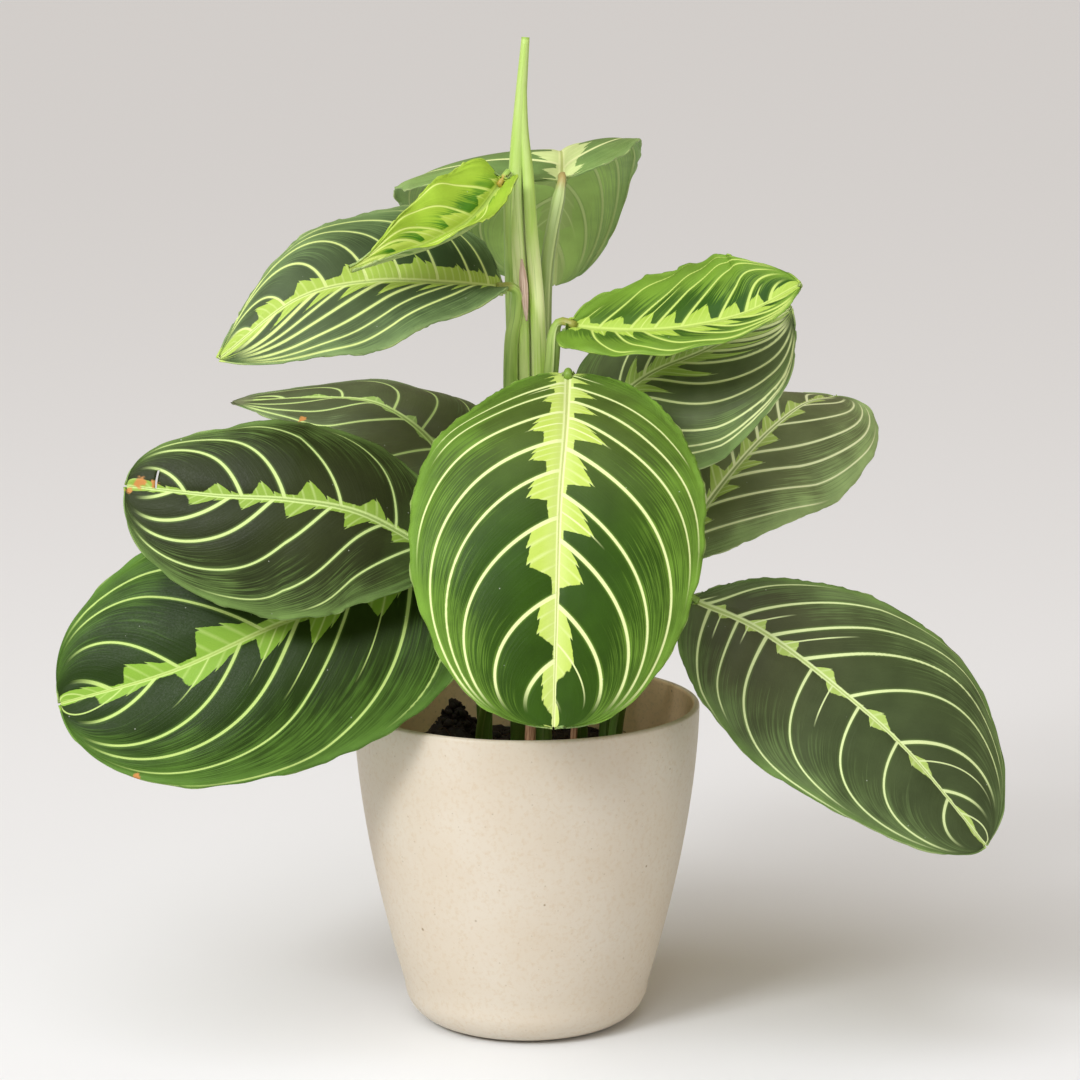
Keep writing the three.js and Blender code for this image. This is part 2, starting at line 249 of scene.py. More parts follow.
def smooth_piece(data: bpy.types.Mesh, name: str, *skins: Skin) -> Piece:
    """Puts a finished mesh in the scene.

    Args:
        data: The mesh.
        name: The piece's name.
        skins: Its finishes, in order.

    Returns:
        The new object.
    """
    data.name = name
    for skin in skins:
        data.materials.append(skin)
    data.shade_smooth()
    return show(bpy.data.objects.new(name, data))


def place(piece: Piece, slot: str, *nodes: str) -> Piece:
    """Hangs a finished piece on the plant's body.

    Args:
        piece: The finished object.
        slot: The record's material slot; it is not used.
        nodes: The solids that it stands for.

    Returns:
        The same object.
    """
    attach(piece, BODY)
    if nodes:
        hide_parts(*nodes)
    return piece


class Sheet:
    """A grid of faces that is bent into a leaf, a stalk or a plug of soil."""

    def __init__(self, columns: int, rows: int) -> None:
        """Makes the flat grid.

        Args:
            columns: Faces from left to right.
            rows: Faces from bottom to top.
        """
        grid = bmesh.new()
        bmesh.ops.create_grid(grid, x_segments=columns, y_segments=rows, size=1)
        self.mesh = settled(grid)
        flat = np.zeros(len(self.mesh.vertices) * 3)
        self.mesh.vertices.foreach_get("co", flat)
        self.across, self.along = flat.reshape(-1, 3)[:, 0], flat.reshape(-1, 3)[:, 1]
        self.corners = np.zeros(len(self.mesh.loops), int)
        self.mesh.loops.foreach_get("vertex_index", self.corners)
        middle = self.across[self.corners].reshape(-1, 4).mean(1)
        self.right = np.repeat(middle > 0, 4)

    def bend(self, places: np.ndarray) -> None:
        """Moves the vertices to rows of x, y, z in millimetres."""
        self.mesh.vertices.foreach_set("co", (places * MM).ravel())
        self.mesh.update()

    def chart(self, name: str, first: np.ndarray, second: np.ndarray) -> None:
        """Stores two numbers for each corner of each face as a UV map.

        Args:
            name: The map's name.
            first: What U holds, one for each vertex or each corner.
            second: What V holds, likewise.
        """
        layer = self.mesh.uv_layers.new(name=name)
        both = [a[self.corners] if len(a) == len(self.across) else a for a in (first, second)]
        layer.data.foreach_set("uv", np.column_stack(both).ravel())

    def close(self) -> None:
        """Welds seams and poles, closer than 1 micrometre."""
        mesh = bmesh.new()
        mesh.from_mesh(self.mesh)
        bmesh.ops.remove_doubles(mesh, verts=mesh.verts, dist=1e-6)
        bmesh.ops.dissolve_degenerate(mesh, edges=mesh.edges, dist=1e-6)
        bmesh.ops.recalc_face_normals(mesh, faces=mesh.faces)
        settled(mesh, self.mesh)


# --- Finishes ------------------------------------------------------------------------------


class Side(Enum):
    """The two faces of a leaf."""

    UPPER = "upper"
    UNDER = "under"


@dataclass(frozen=True)
class Scorch:
    """A dried spot on a leaf, placed along and across its midrib in millimetres."""

    along: float
    across: float
    radius: float
    tint: str = "#c0864a"


@dataclass(frozen=True)
class LeafFinish:
    """Skin of a prayer plant leaf: satin, with a lime feather along the midrib and pale veins.

    Between the veins lie dark blotches, which break up into fine streaks towards a brighter
    margin. Lengths are in millimetres. Shares run from the midrib, 0, to the margin, 1.
    """

    slot: str = "leaf_mature"
    name: str = ""
    dark: str = "#2e4b0e"
    bronze: str = "#4a5f25"  # the dark near the base
    mid: str = "#5d802a"
    edge: str = "#7aa33c"
    lime: str = "#b7cf5c"
    vein: str = "#dde8a6"
    rib: str = "#a9b566"
    underside: str = "#7e9b5a"
    glow: float = 0.28  # how far the feather pales towards the midrib
    feather: float = 12.5  # how far the feather's points reach
    hug: tuple[float, float] = (0.35, 0.85)  # its share of that at each vein, left and right
    bay: tuple[float, float] = (0.75, 0.14)  # and in its bays, near the base and the tip
    tongue: float = 0  # where between two veins the feather starts to widen
    tails: float = 0.5  # how many of its points run on as a thin vein
    vein_width: float = 1.4
    blotch: tuple[float, float] = (0.5, 1)  # the shares where blotches start to fade and end
    streaks: float = 0.3
    scorches: tuple[Scorch, ...] = ()
    seed: float = 0

    def material(self, side: Side) -> Skin:
        """Makes the skin of one side.

        Args:
            side: Which face of the leaf.

        Returns:
            The material.
        """
        # A grown leaf's thin film of wax gives a broad, weak sheen over deep colour.
        upper = side is Side.UPPER
        skin = self if upper else self._turned()
        paint = Paint(f"{skin.name}_{side.value}_skin", Specular_IOR_Level=0.13)
        add = paint.add
        plant = add(PLACE)
        _, number, signed = paint.chart("veins")
        spot, along, beside = paint.chart("place")  # in millimetres, and so are its patterns
        _, gap, run = paint.chart("scale")
        share, from_rib = add(SIZE, [signed]), add(SIZE, [beside])
        half = add(ABOVE, [signed, 0])

        # Which pair of veins a place lies between, and how far from one to the next.
        between, nearest = add(PART, [number]), add(NEAREST, [number])
        pair = add(CHANCE, [add(COMBINE, [add(WHOLE, [number]), half, skin.seed])], 1)
        chance_size, chance_tail = (add(SEPARATE, [pair], axis) for axis in (0, 1))
        chance_vein = add(CHANCE, [add(COMBINE, [nearest, half, skin.seed + 7])])
        to_vein = add(TIMES, [add(SIZE, [add(MINUS, [number, nearest])]), gap])

        # Side veins: broad at the midrib, fading out just short of the margin.
        wide = skin.vein_width / 2
        half_width = add(TIMES, [add(RANGE, [share, 0, 1, wide, wide * 0.4]),
                                 add(RANGE, [chance_vein, 0, 1, 0.8, 1.1])])
        fade = add(RANGE, [chance_vein, 0, 1, 0.86, 0.95])
        there = add(SMOOTH, [share, add(PLUS, [fade, 0.06]), fade])
        there = add(TIMES, [there, add(ABOVE, [number, 0.55])])
        there = add(TIMES, [there, add(SMOOTH, [run, 0.975, 0.9])])
        inner, outer = add(MINUS, [half_width, 0.14]), add(PLUS, [half_width, 0.16])
        vein = add(TIMES, [add(SMOOTH, [to_vein, outer, inner]), there])
        halo = add(SMOOTH, [to_vein, add(PLUS, [half_width, 0.8]), half_width, 0, 0.35])
        halo = add(TIMES, [halo, there])

        # The feather: from each vein its edge steps out to a point, then slants back to a bay.
        point = 0.4
        tooth = add(PART, [add(TIMES, [between, 2 / point])])
        hug = add(RANGE, [half, 0, 1, *skin.hug])
        rise = add(POWER, [add(RANGE, [between, skin.tongue, point]), 0.7])
        rise = add(TIMES_PLUS, [rise, add(MINUS, [1, hug]), hug])
        rise = add(PLUS, [rise, add(RANGE, [tooth, 0, 1, -0.1, 0.07])])
        bay = add(TIMES, [add(RANGE, [run, 0.25, 0.75, *skin.bay]), hug])
        drop = add(MOST, [add(RANGE, [between, point, 0.8, 1.07, 0]), bay])
        size = add(LEAST, [add(RANGE, [run, 0, 0.3, 0.5, 1]), add(RANGE, [run, 0.5, 1, 1, 0.3])])
        size = add(TIMES, [size, skin.feather])
        size = add(TIMES, [size, add(RANGE, [chance_size, 0, 1, 0.75, 1.05])])
        ragged = add(NOISE, {"Vector": spot, "Scale": 0.6, "Detail": 2})  # by 1.7 mm
        reach = add(TIMES, [add(LEAST, [rise, drop]), size])
        reach = add(PLUS, [reach, add(RANGE, [ragged, 0.3, 0.7, -0.2, 0.2])])
        feather = add(SMOOTH, [from_rib, add(PLUS, [reach, 0.35]), reach])

        # Here and there a thin vein runs on from the point of the feather.
        thin = add(TIMES, [add(SIZE, [add(MINUS, [between, point])]), gap])
        tail = add(TIMES, [add(RANGE, [chance_tail, 1 - skin.tails, 1, 0.25, 0.6]),
                           add(ABOVE, [chance_tail, 1 - skin.tails])])
        thin = add(TIMES, [add(SMOOTH, [thin, 0.36, 0.08]),
                           add(RANGE, [share, tail, add(MINUS, [tail, 0.15])])])

        # Veinlets inside the feather, four between two veins.
        veinlet = add(PART, [add(TIMES_PLUS, [between, 2 / point, 0.5])])
        veinlet = add(RANGE, [add(SIZE, [add(MINUS, [veinlet, 0.5])]), 0.2, 0, 0, 0.5])

        # Streaks run with the veins, about 0.5 mm wide, and fray the edge of the blotches.
        stripe = add(COMBINE, [add(TIMES, [number, 21]), add(TIMES, [along, 0.05]), skin.seed])
        stripe = add(NOISE, {"Vector": stripe, "Scale": 1, "Detail": 2, "Roughness": 0.6})
        stripe = add(RANGE, [stripe, 0.42, 0.72])
        cloud = add(NOISE, {"Vector": spot, "Scale": 0.05, "Detail": 3})  # by 20 mm
        frayed = add(PLUS, [share, add(RANGE, [stripe, 0, 1, -0.12, 0.3])])
        frayed = add(PLUS, [frayed, add(RANGE, [cloud, 0.3, 0.7, -0.16, 0.16])])
        blotch = add(SMOOTH, [frayed, skin.blotch[1], skin.blotch[0]])
        blotch = add(TIMES, [blotch, add(RANGE, [run, 0, 0.16, 0.45, 1])])
        streaked = add(TIMES, [stripe, add(RANGE, [share, 0.4, 0.95, 0, skin.streaks])])

        # The ground: a green, mottled every 12 mm or so, with all of this laid over it.
        mottle = add(NOISE, {"Vector": plant, "Scale": 1 / (12 * MM), "Detail": 4})
        rib = add(OVER, [from_rib, add(RANGE, [run, 0, 1, 1.15, 0.4])])
        dust = add(CELLS, {"Vector": spot, "Scale": 0.15})  # a speck in every 7 mm
        pale = add(RANGE, [from_rib, 5.5, 0.8, 0, skin.glow])
        dark = paint.coats(skin.dark, (add(SMOOTH, [run, 0.65, 0.25]), skin.bronze))
        lime = paint.coats(skin.lime, (add(MOST, [veinlet, pale]), skin.vein))
        shade = paint.coats(skin.mid, (blotch, dark), (streaked, skin.edge),
                            (add(SMOOTH, [share, 0.88, 1, 0, 0.8]), skin.edge), (halo, skin.edge))
        shade = add(HUE, {"Value": add(RANGE, [mottle, 0.3, 0.7, 0.84, 1.16]), "Color": shade})
        shade = paint.coats(
            shade, (feather, lime), (thin, skin.vein), (vein, skin.vein),
            (add(RANGE, [rib, 1.2, 0.8]), skin.vein),
            (add(RANGE, [rib, 0.42, 0.25, 0, 0.8]), skin.rib),
            (add(RANGE, [share, 0.985, 0.993, 0, 0.3]), skin.vein),
            (add(RANGE, [dust, 0.04, 0.02, 0, 0.4 if upper else 0]), "#dfe3d8"))
        for burn in skin.scorches:
            aside, ahead = add(MINUS, [beside, burn.across]), add(MINUS, [along, burn.along])
            apart = add(PLUS, [add(LENGTH, [add(COMBINE, [aside, ahead])]),
                               add(RANGE, [ragged, 0.3, 0.7, -0.8, 0.8])])
            burnt = add(RANGE, [apart, burn.radius, burn.radius * 0.55])
            shade = paint.coats(shade, (burnt, burn.tint))

        # Relief under 0.2 mm: veins, streaks and a pebbled skin. Its real cells of 0.1 mm are
        # too fine to show, so they are drawn 0.6 mm wide. They break the sheen up into satin.
        pebbles = add(NOISE, {"Vector": plant, "Scale": 1 / (0.6 * MM), "Detail": 2})
        height = add(TIMES, [vein, -0.08 if upper else 0.2])
        height = add(TIMES_PLUS, [stripe, 0.04, height])
        height = add(TIMES_PLUS, [pebbles, 0.03, height])
        return paint.wear(Base_Color=shade, Roughness=add(RANGE, [pebbles, 0.3, 0.7, 0.38, 0.52]),
                          Normal=add(BUMP, {"Strength": 1, "Distance": MM, "Height": height}))

    def _turned(self) -> "LeafFinish":
        """The same pattern seen from below: pale, dull and low in contrast."""
        return replace(self, dark=self.underside, bronze=self.underside, mid="#8aa566",
                       edge="#86a860", lime="#9db76a", vein="#b9cd86", rib="#bccb84",
                       streaks=self.streaks * 0.5)


@dataclass(frozen=True)
class StalkFinish:
    """Skin of a fleshy stalk: juicy green, finely ribbed along its length.

    The last few millimetres under the blade are the joint that moves the leaf, which is
    smooth and turns olive, orange or pink.
    """

    name: str
    base: str = "#86b23e"
    light: str = "#b7d56a"
    line: str = "#5f8c31"
    joint: str = "#8d8f42"
    joint_length: float = 8
    # painted shade: the stalk darkens towards the soil, under the leaves and inside the rim
    painted_shade_near_soil: str = "#4a6b2a"
    crown: str = ""  # a darker top, over a stalk that is painted lighter below it as painted light

    def material(self) -> Skin:
        """Makes the stalk's skin.

        Returns:
            The material.
        """
        # Taut, sappy skin: it gives a narrow light along the stalk, broken by the ribs.
        paint = Paint(f"{self.name}_skin", Roughness=0.42, Specular_IOR_Level=0.5)
        add = paint.add
        _, around, to_end = paint.chart("wrap")
        up = add(SEPARATE, [add(PLACE)], 2)
        # Ribs about 0.5 mm apart on a stalk of 16 mm round.
        length = add(TIMES, [to_end, 0.035])
        rib = add(COMBINE, [add(TIMES, [around, 34]), length])
        rib = add(NOISE, {"Vector": rib, "Scale": 1, "Detail": 2})
        broad = add(COMBINE, [add(TIMES, [around, 4]), length, 3])
        broad = add(NOISE, {"Vector": broad, "Scale": 1})
        coats = [
            (add(RANGE, [broad, 0.35, 0.65]), self.light),
            (add(RANGE, [rib, 0.56, 0.7, 0, 0.6]), self.line),
            (add(RANGE, [rib, 0.42, 0.3, 0, 0.6]), self.light),
            (add(TIMES, [add(RANGE, [around, 0.955, 0.985]), 0.6]), "#dbe9a4"),
            # Painted shade, from 160 mm high down to 100 mm, near the soil.
            (add(SMOOTH, [up, 0.16, 0.1, 0, 0.8]), self.painted_shade_near_soil),
        ]
        # Painted light: a stalk with a crown is painted lighter below it, where the leaves round it
        # shade it, and this coat darkens the top again.
        if self.crown:
            coats.append((add(SMOOTH, [up, 0.25, 0.31, 0, 0.75]), self.crown))
        joint = add(SMOOTH, [to_end, self.joint_length, self.joint_length * 0.55])
        height = add(TIMES, [rib, 0.12])
        return paint.wear(Base_Color=paint.coats(self.base, *coats, (joint, self.joint)),
                          Normal=add(BUMP, {"Strength": 0.8, "Distance": MM, "Height": height}))


@dataclass(frozen=True)
class DriedFinish:
    """Withered plant skin: papery, brown, split along its fibres."""

    name: str
    base: str = "#b08a6c"
    dark: str = "#6b4a35"

    def material(self) -> Skin:
        """Makes the withered skin.

        Returns:
            The material.
        """
        # Sap and wax are gone, so it is matt, and shrunk fibres stand out as dark lines.
        paint = Paint(f"{self.name}_skin", Roughness=0.85, Specular_IOR_Level=0.25)
        add = paint.add
        _, around, to_end = paint.chart("wrap")
        fibre = add(COMBINE, [add(TIMES, [around, 22]), add(TIMES, [to_end, 0.12])])
        fibre = add(NOISE, {"Vector": fibre, "Scale": 1, "Detail": 4})
        shade = paint.coats(self.base, (add(RANGE, [fibre, 0.42, 0.62]), self.dark))
        relief = add(BUMP, {"Strength": 0.9, "Distance": 0.3 * MM, "Height": fibre})
        return paint.wear(Base_Color=shade, Normal=relief)


@dataclass(frozen=True)
class FibreCompositeFinish:
    """Moulded bamboo-fibre composite: matt cream, with fine tan and brown flecks of fibre, and
    painted warm bounce light on the inner wall.
    """

    base: str = "#d5ccbc"
    inside: str = "#f8d9b2"  # painted bounce light: warmer, as if light reached it off the peat and the stems
    tan: str = "#c8b394"
    fleck: str = "#94805f"

    def material(self) -> Skin:
        """Makes the planter's wall.

        Returns:
            The material.
        """
        # Pressed hot in a smooth mould: a soft, even sheen, with ground fibre in the surface.
        paint = Paint("moulded_fibre_composite", Specular_IOR_Level=0.45)
        add = paint.add
        spot = add(PLACE)
        x, y, z = (add(SEPARATE, [spot], axis) for axis in range(3))
        cloud = add(NOISE, {"Vector": spot, "Scale": 1 / (25 * MM), "Detail": 3})
        grain = {"Vector": spot, "Scale": 1 / (1.6 * MM), "Detail": 3, "Roughness": 0.65}
        grain = add(NOISE, grain)
        # Painted bounce light: inside the pot above the soil, where the outer face is over 58.5 mm
        # from the middle, the wall is tinted warmer.
        painted_bounce = add(LENGTH, [add(COMBINE, [x, y])])
        painted_bounce = add(RANGE, [painted_bounce, 58.5 * MM, 57.8 * MM])
        painted_bounce = add(TIMES, [painted_bounce, add(RANGE, [z, 90 * MM, 90.2 * MM])])
        shade = paint.coats(self.base, (painted_bounce, self.inside),
                            (add(RANGE, [cloud, 0.35, 0.7, 0, 0.22]), self.tan),
                            (add(RANGE, [grain, 0.5, 0.72, 0, 0.45]), self.tan))
        # Flecks 0.3 to 0.6 mm across, one in every 3 mm or so, and a few larger ones.
        for apart, size, strength in ((2.2 * MM, 0.085, 0.4), (8.5 * MM, 0.05, 0.85)):
            cells = {"Vector": spot, "Scale": 1 / apart}
            chance = add(SEPARATE, [add(CELLS, cells, 1)], 0)
            inside = add(MINUS, [add(RANGE, [chance, 0.3, 1, 0, size * 2]), add(CELLS, cells)])
            fleck = add(RANGE, [inside, 0, size * 0.7, 0, strength])
            shade = paint.coats(shade, (fleck, self.fleck))
        relief = add(BUMP, {"Strength": 0.35, "Distance": 0.12 * MM, "Height": grain})
        return paint.wear(Base_Color=shade, Normal=relief,
                          Roughness=add(RANGE, [grain, 0.3, 0.7, 0.42, 0.56]))


@dataclass(frozen=True)
class PeatFinish:
    """Damp potting peat: near black, crumbly, with brown fibres in it."""

    base: str = "#1d1512"
    brown: str = "#4a3426"

    def material(self) -> Skin:
        """Makes the peat.

        Returns:
            The material.
        """
        # Loose and damp: crumbs swallow most of the light, with a few moist glints.
        paint = Paint("damp_peat", Specular_IOR_Level=0.35)
        add = paint.add
        spot = add(PLACE)
        crumbs = {"Vector": spot, "Scale": 1 / (1.8 * MM), "Detail": 5, "Roughness": 0.7}
        crumbs = add(NOISE, crumbs)
        patches = add(NOISE, {"Vector": spot, "Scale": 1 / (6 * MM), "Detail": 2})
        blend = add(TIMES, [add(RANGE, [crumbs, 0.5, 0.75]), add(RANGE, [patches, 0.35, 0.65])])
        relief = add(BUMP, {"Strength": 1, "Distance": 0.6 * MM, "Height": crumbs})
        return paint.wear(Base_Color=paint.coats(self.base, (blend, self.brown)), Normal=relief,
                          Roughness=add(RANGE, [crumbs, 0.3, 0.7, 0.55, 0.95]))


# --- Planter and soil ----------------------------------------------------------------------

SOIL_TOP = 92


@dataclass
class Planter:
    """The tapered round pot, with a rounded foot, a bowed wall and a thin rolled lip."""

    rim_radius: float = 60
    height: float = 112.5
    shoulder_radius: float = 42.8
    foot_fillet: float = 13
    wall: float = 2.4
    floor: float = 3.2
    bow: float = 1.7
    sides: int = 192

    def wall_radius(self, z: float) -> float:
        """The outer wall's radius at a height, both in millimetres."""
        rise = min(1, max(0, (z - self.foot_fillet) / (self.height - self.foot_fillet)))
        return self.rim_radius - (self.rim_radius - self.shoulder_radius) * (1 - rise) ** self.bow

    def profile(self) -> list[tuple[float, float]]:
        """Draws the pot's section.

        Returns:
            Pairs of radius and height, from the middle of the base to that of the floor.
        """
        lip, fillet = self.wall / 2, self.foot_fillet
        corner = self.shoulder_radius - fillet
        arc = [math.pi / 2 * i / 10 for i in range(11)]
        over = [math.pi * i / 8 for i in range(1, 8)]
        rises = [fillet + (self.height - lip - fillet) * i / 22 for i in range(1, 23)]
        outer = [(corner + fillet * math.sin(a), fillet * (1 - math.cos(a))) for a in arc]
        outer += [(self.wall_radius(z), z) for z in rises]
        crown = [(self.rim_radius - lip + lip * math.cos(a), self.height - lip + lip * math.sin(a))
                 for a in over]
        inner = [(self.wall_radius(z) - self.wall, z) for z in reversed(rises)]
        inner += [(corner + (fillet - self.wall) * math.sin(a),
                   self.floor + (fillet - self.floor) * (1 - math.cos(a))) for a in reversed(arc)]
        return [(0, 0), *outer, *crown, *inner, (0, self.floor)]

    def build(self) -> Piece:
        """Spins the section into the pot.

        Returns:
            The planter, in place.
        """
        mesh = bmesh.new()
        ends = [mesh.verts.new((r * MM, 0, z * MM)) for r, z in self.profile()]
        edges = [mesh.edges.new(pair) for pair in zip(ends, ends[1:])]
        bmesh.ops.spin(mesh, geom=[*ends, *edges], axis=(0, 0, 1), cent=(0, 0, 0), angle=TURN,
                       steps=self.sides, use_merge=True, use_duplicate=False)
        bmesh.ops.remove_doubles(mesh, verts=mesh.verts, dist=1e-6)
        bmesh.ops.recalc_face_normals(mesh, faces=mesh.faces)
        skin = FibreCompositeFinish().material()
        return place(smooth_piece(settled(mesh), "planter", skin), "planter", "pot")


@dataclass
class Soil:
    """The peat in the pot: a crumbly plug with a mound at the left, loose crumbs and fibres."""

    planter: Planter
    mound: Point = (-25, 6, 15)  # its place, and how high it stands
    mound_reach: tuple[float, float] = (12, 17)  # how far it spreads sideways and back
    swell: float = 1.2
    edge_fall: float = 2.4
    roughness: float = 1.5
    crumbs: int = 1400
    heaped: int = 140  # crumbs that are piled on the mound
    fibres: int = 150
    fibre_radius: float = 0.16
    seed: int = 5

    def __post_init__(self) -> None:
        """Fits the plug into the pot, with a gap of 0.15 mm."""
        self.edge = self.planter.wall_radius(SOIL_TOP) - self.planter.wall - 0.15
        self.peat = PeatFinish().material()

    def height(self, x: np.ndarray, y: np.ndarray) -> np.ndarray:
        """Finds the smooth height of the soil.

        Args:
            x: Places to the right, in millimetres.
            y: Places to the back.

        Returns:
            The height at each.
        """
        (side, back, top), (wide, deep) = self.mound, self.mound_reach
        mound = top * np.exp(-(((x - side) / wide) ** 2) - ((y - back) / deep) ** 2)
        swell = self.swell * np.sin(x / 7 + 1) * np.cos(y / 6)
        return SOIL_TOP + mound + swell - self.edge_fall * (x * x + y * y) / 60**2

    def lumps(self, x: np.ndarray, y: np.ndarray) -> np.ndarray:
        """Finds uneven lumps of 1.7 to 9 mm.

        Args:
            x: Places to the right, in millimetres.
            y: Places to the back.

        Returns:
            The height to add at each.
        """
        spin = np.random.default_rng(self.seed)
        total = np.zeros_like(x)
        for wave, share in ((9, 0.34), (5, 0.28), (2.8, 0.22), (1.7, 0.16)):
            for _ in range(5):
                turn, phase, skew = spin.uniform(0, TURN, 3)
                ahead = x * math.cos(turn) + y * math.sin(turn)
                aside = y * math.cos(turn) - x * math.sin(turn)
                bent = 1.4 * np.sin(TURN * aside / (wave * 1.3) + skew)
                total += share * np.sin(TURN * ahead / wave + phase + bent) / 2.2
        return self.roughness * total

    def build(self) -> list[Piece]:
        """Makes the plug, then scatters crumbs and fibres on it.

        Returns:
            The three pieces, in place.
        """
        sheet = Sheet(220, 100)
        turn, t = math.pi * (sheet.across + 1), (sheet.along + 1) / 2
        levels = [0, 0.08, 0.22, 1]  # the middle below, the chamfer, the edge, the middle on top
        radius = self.edge * np.interp(t, levels, [0, 0.9, 1, 0])
        x, y = radius * np.cos(turn), radius * np.sin(turn)
        inside = np.clip((1 - radius / self.edge) / 0.06, 0, 1)
        surface = self.height(x, y) + self.lumps(x, y) * (0.25 + 0.75 * inside)
        depth = np.interp(t, levels, [18, 16, 0, 0])
        sheet.bend(np.column_stack([x, y, surface - depth]))
        sheet.close()
        plug = place(smooth_piece(sheet.mesh, "peat_soil", self.peat), "soil", "soil")
        return [plug, place(self._crumbs(), "soil"), place(self._fibres(), "soil")]

    def _spot(self, spin: np.random.Generator, inset: float) -> tuple[float, float]:
        """Draws a direction and a distance from the middle, up to an inset from the edge."""
        return spin.uniform(0, TURN), (self.edge - inset) * math.sqrt(spin.uniform())

    def _crumbs(self) -> Piece:
        """Scatters small lumps of peat over the soil.

        Returns:
            All of them as one object.
        """
        spin = np.random.default_rng(self.seed + 1)
        mesh = bmesh.new()
        for i in range(self.crumbs):
            turn, out = self._spot(spin, 2.5)
            x, y, pile = out * math.cos(turn), out * math.sin(turn), 0
            if i < self.heaped:  # within 5 mm or so of the mound's top, up to 4.5 mm high
                out = abs(spin.normal()) * 5
                x, y = self.mound[0] + out * math.cos(turn), self.mound[1] + out * math.sin(turn)
                pile = 4.5 * math.exp(-((out / 6) ** 2)) * spin.uniform()
            size = 0.45 + 1.5 * spin.uniform() ** 3  # mostly small, and a few near 2 mm
            made = bmesh.ops.create_icosphere(mesh, subdivisions=1, radius=size * MM)["verts"]
            squash = Matrix.Diagonal((*spin.uniform(0.6, 1.3, 3), 1))
            tilt = Matrix.Rotation(spin.uniform(0, 6.28), 4, Vector(spin.normal(size=3)))
            z = float(self.height(x, y)) + pile + size * 0.3
            move = Matrix.Translation(Vector((x, y, z)) * MM)
            bmesh.ops.transform(mesh, matrix=move @ tilt @ squash, verts=made)
        return smooth_piece(settled(mesh), "peat_crumbs", self.peat)

    def _fibres(self) -> Piece:
        """Lays short brown root fibres on the soil, each drawn out from a ring of four.

        Returns:
            All of them as one object.
        """
        spin = np.random.default_rng(self.seed + 2)
        mesh = bmesh.new()
        for _ in range(self.fibres):
            turn, out = self._spot(spin, 4)
            at = np.array([out * math.cos(turn), out * math.sin(turn)])
            heading, lift = spin.uniform(0, TURN), spin.uniform(0.3, 2.2)
            ring = bmesh.ops.create_circle(mesh, segments=4, radius=self.fibre_radius * MM)["verts"]
            rim = list({e for v in ring for e in v.link_edges})
            z = float(self.height(*at)) + 0.4
            aim = Matrix.Rotation(heading, 4, "Z") @ Matrix.Rotation(math.pi / 2, 4, "Y")
            move = Matrix.Translation(Vector((*at, z)) * MM)
            bmesh.ops.transform(mesh, matrix=move @ aim, verts=ring)
            for step in range(1, 6):
                heading += spin.uniform(-0.5, 0.5)
                stride = np.array([math.cos(heading), math.sin(heading)]) * spin.uniform(0.8, 1.8)
                at = at + stride
                grown = bmesh.ops.extrude_edge_only(mesh, edges=rim)["geom"]
                ring = [g for g in grown if isinstance(g, bmesh.types.BMVert)]
                rim = [g for g in grown if isinstance(g, bmesh.types.BMEdge)]
                rise = float(self.height(*at)) + 0.4 + lift * math.sin(step * math.pi / 6)
                bmesh.ops.translate(mesh, verts=ring, vec=Vector((*stride, rise - z)) * MM)
                z = rise
        data = settled(mesh)
        data.uv_layers.new(name="wrap")
        finish = DriedFinish("root_fibre", "#5a4030", "#2e2019")
        return smooth_piece(data, "root_fibres", finish.material())


# --- Leaves --------------------------------------------------------------------------------

BASE_HALF_WIDTH = 1.7
TIP_HALF_WIDTH = 0.5


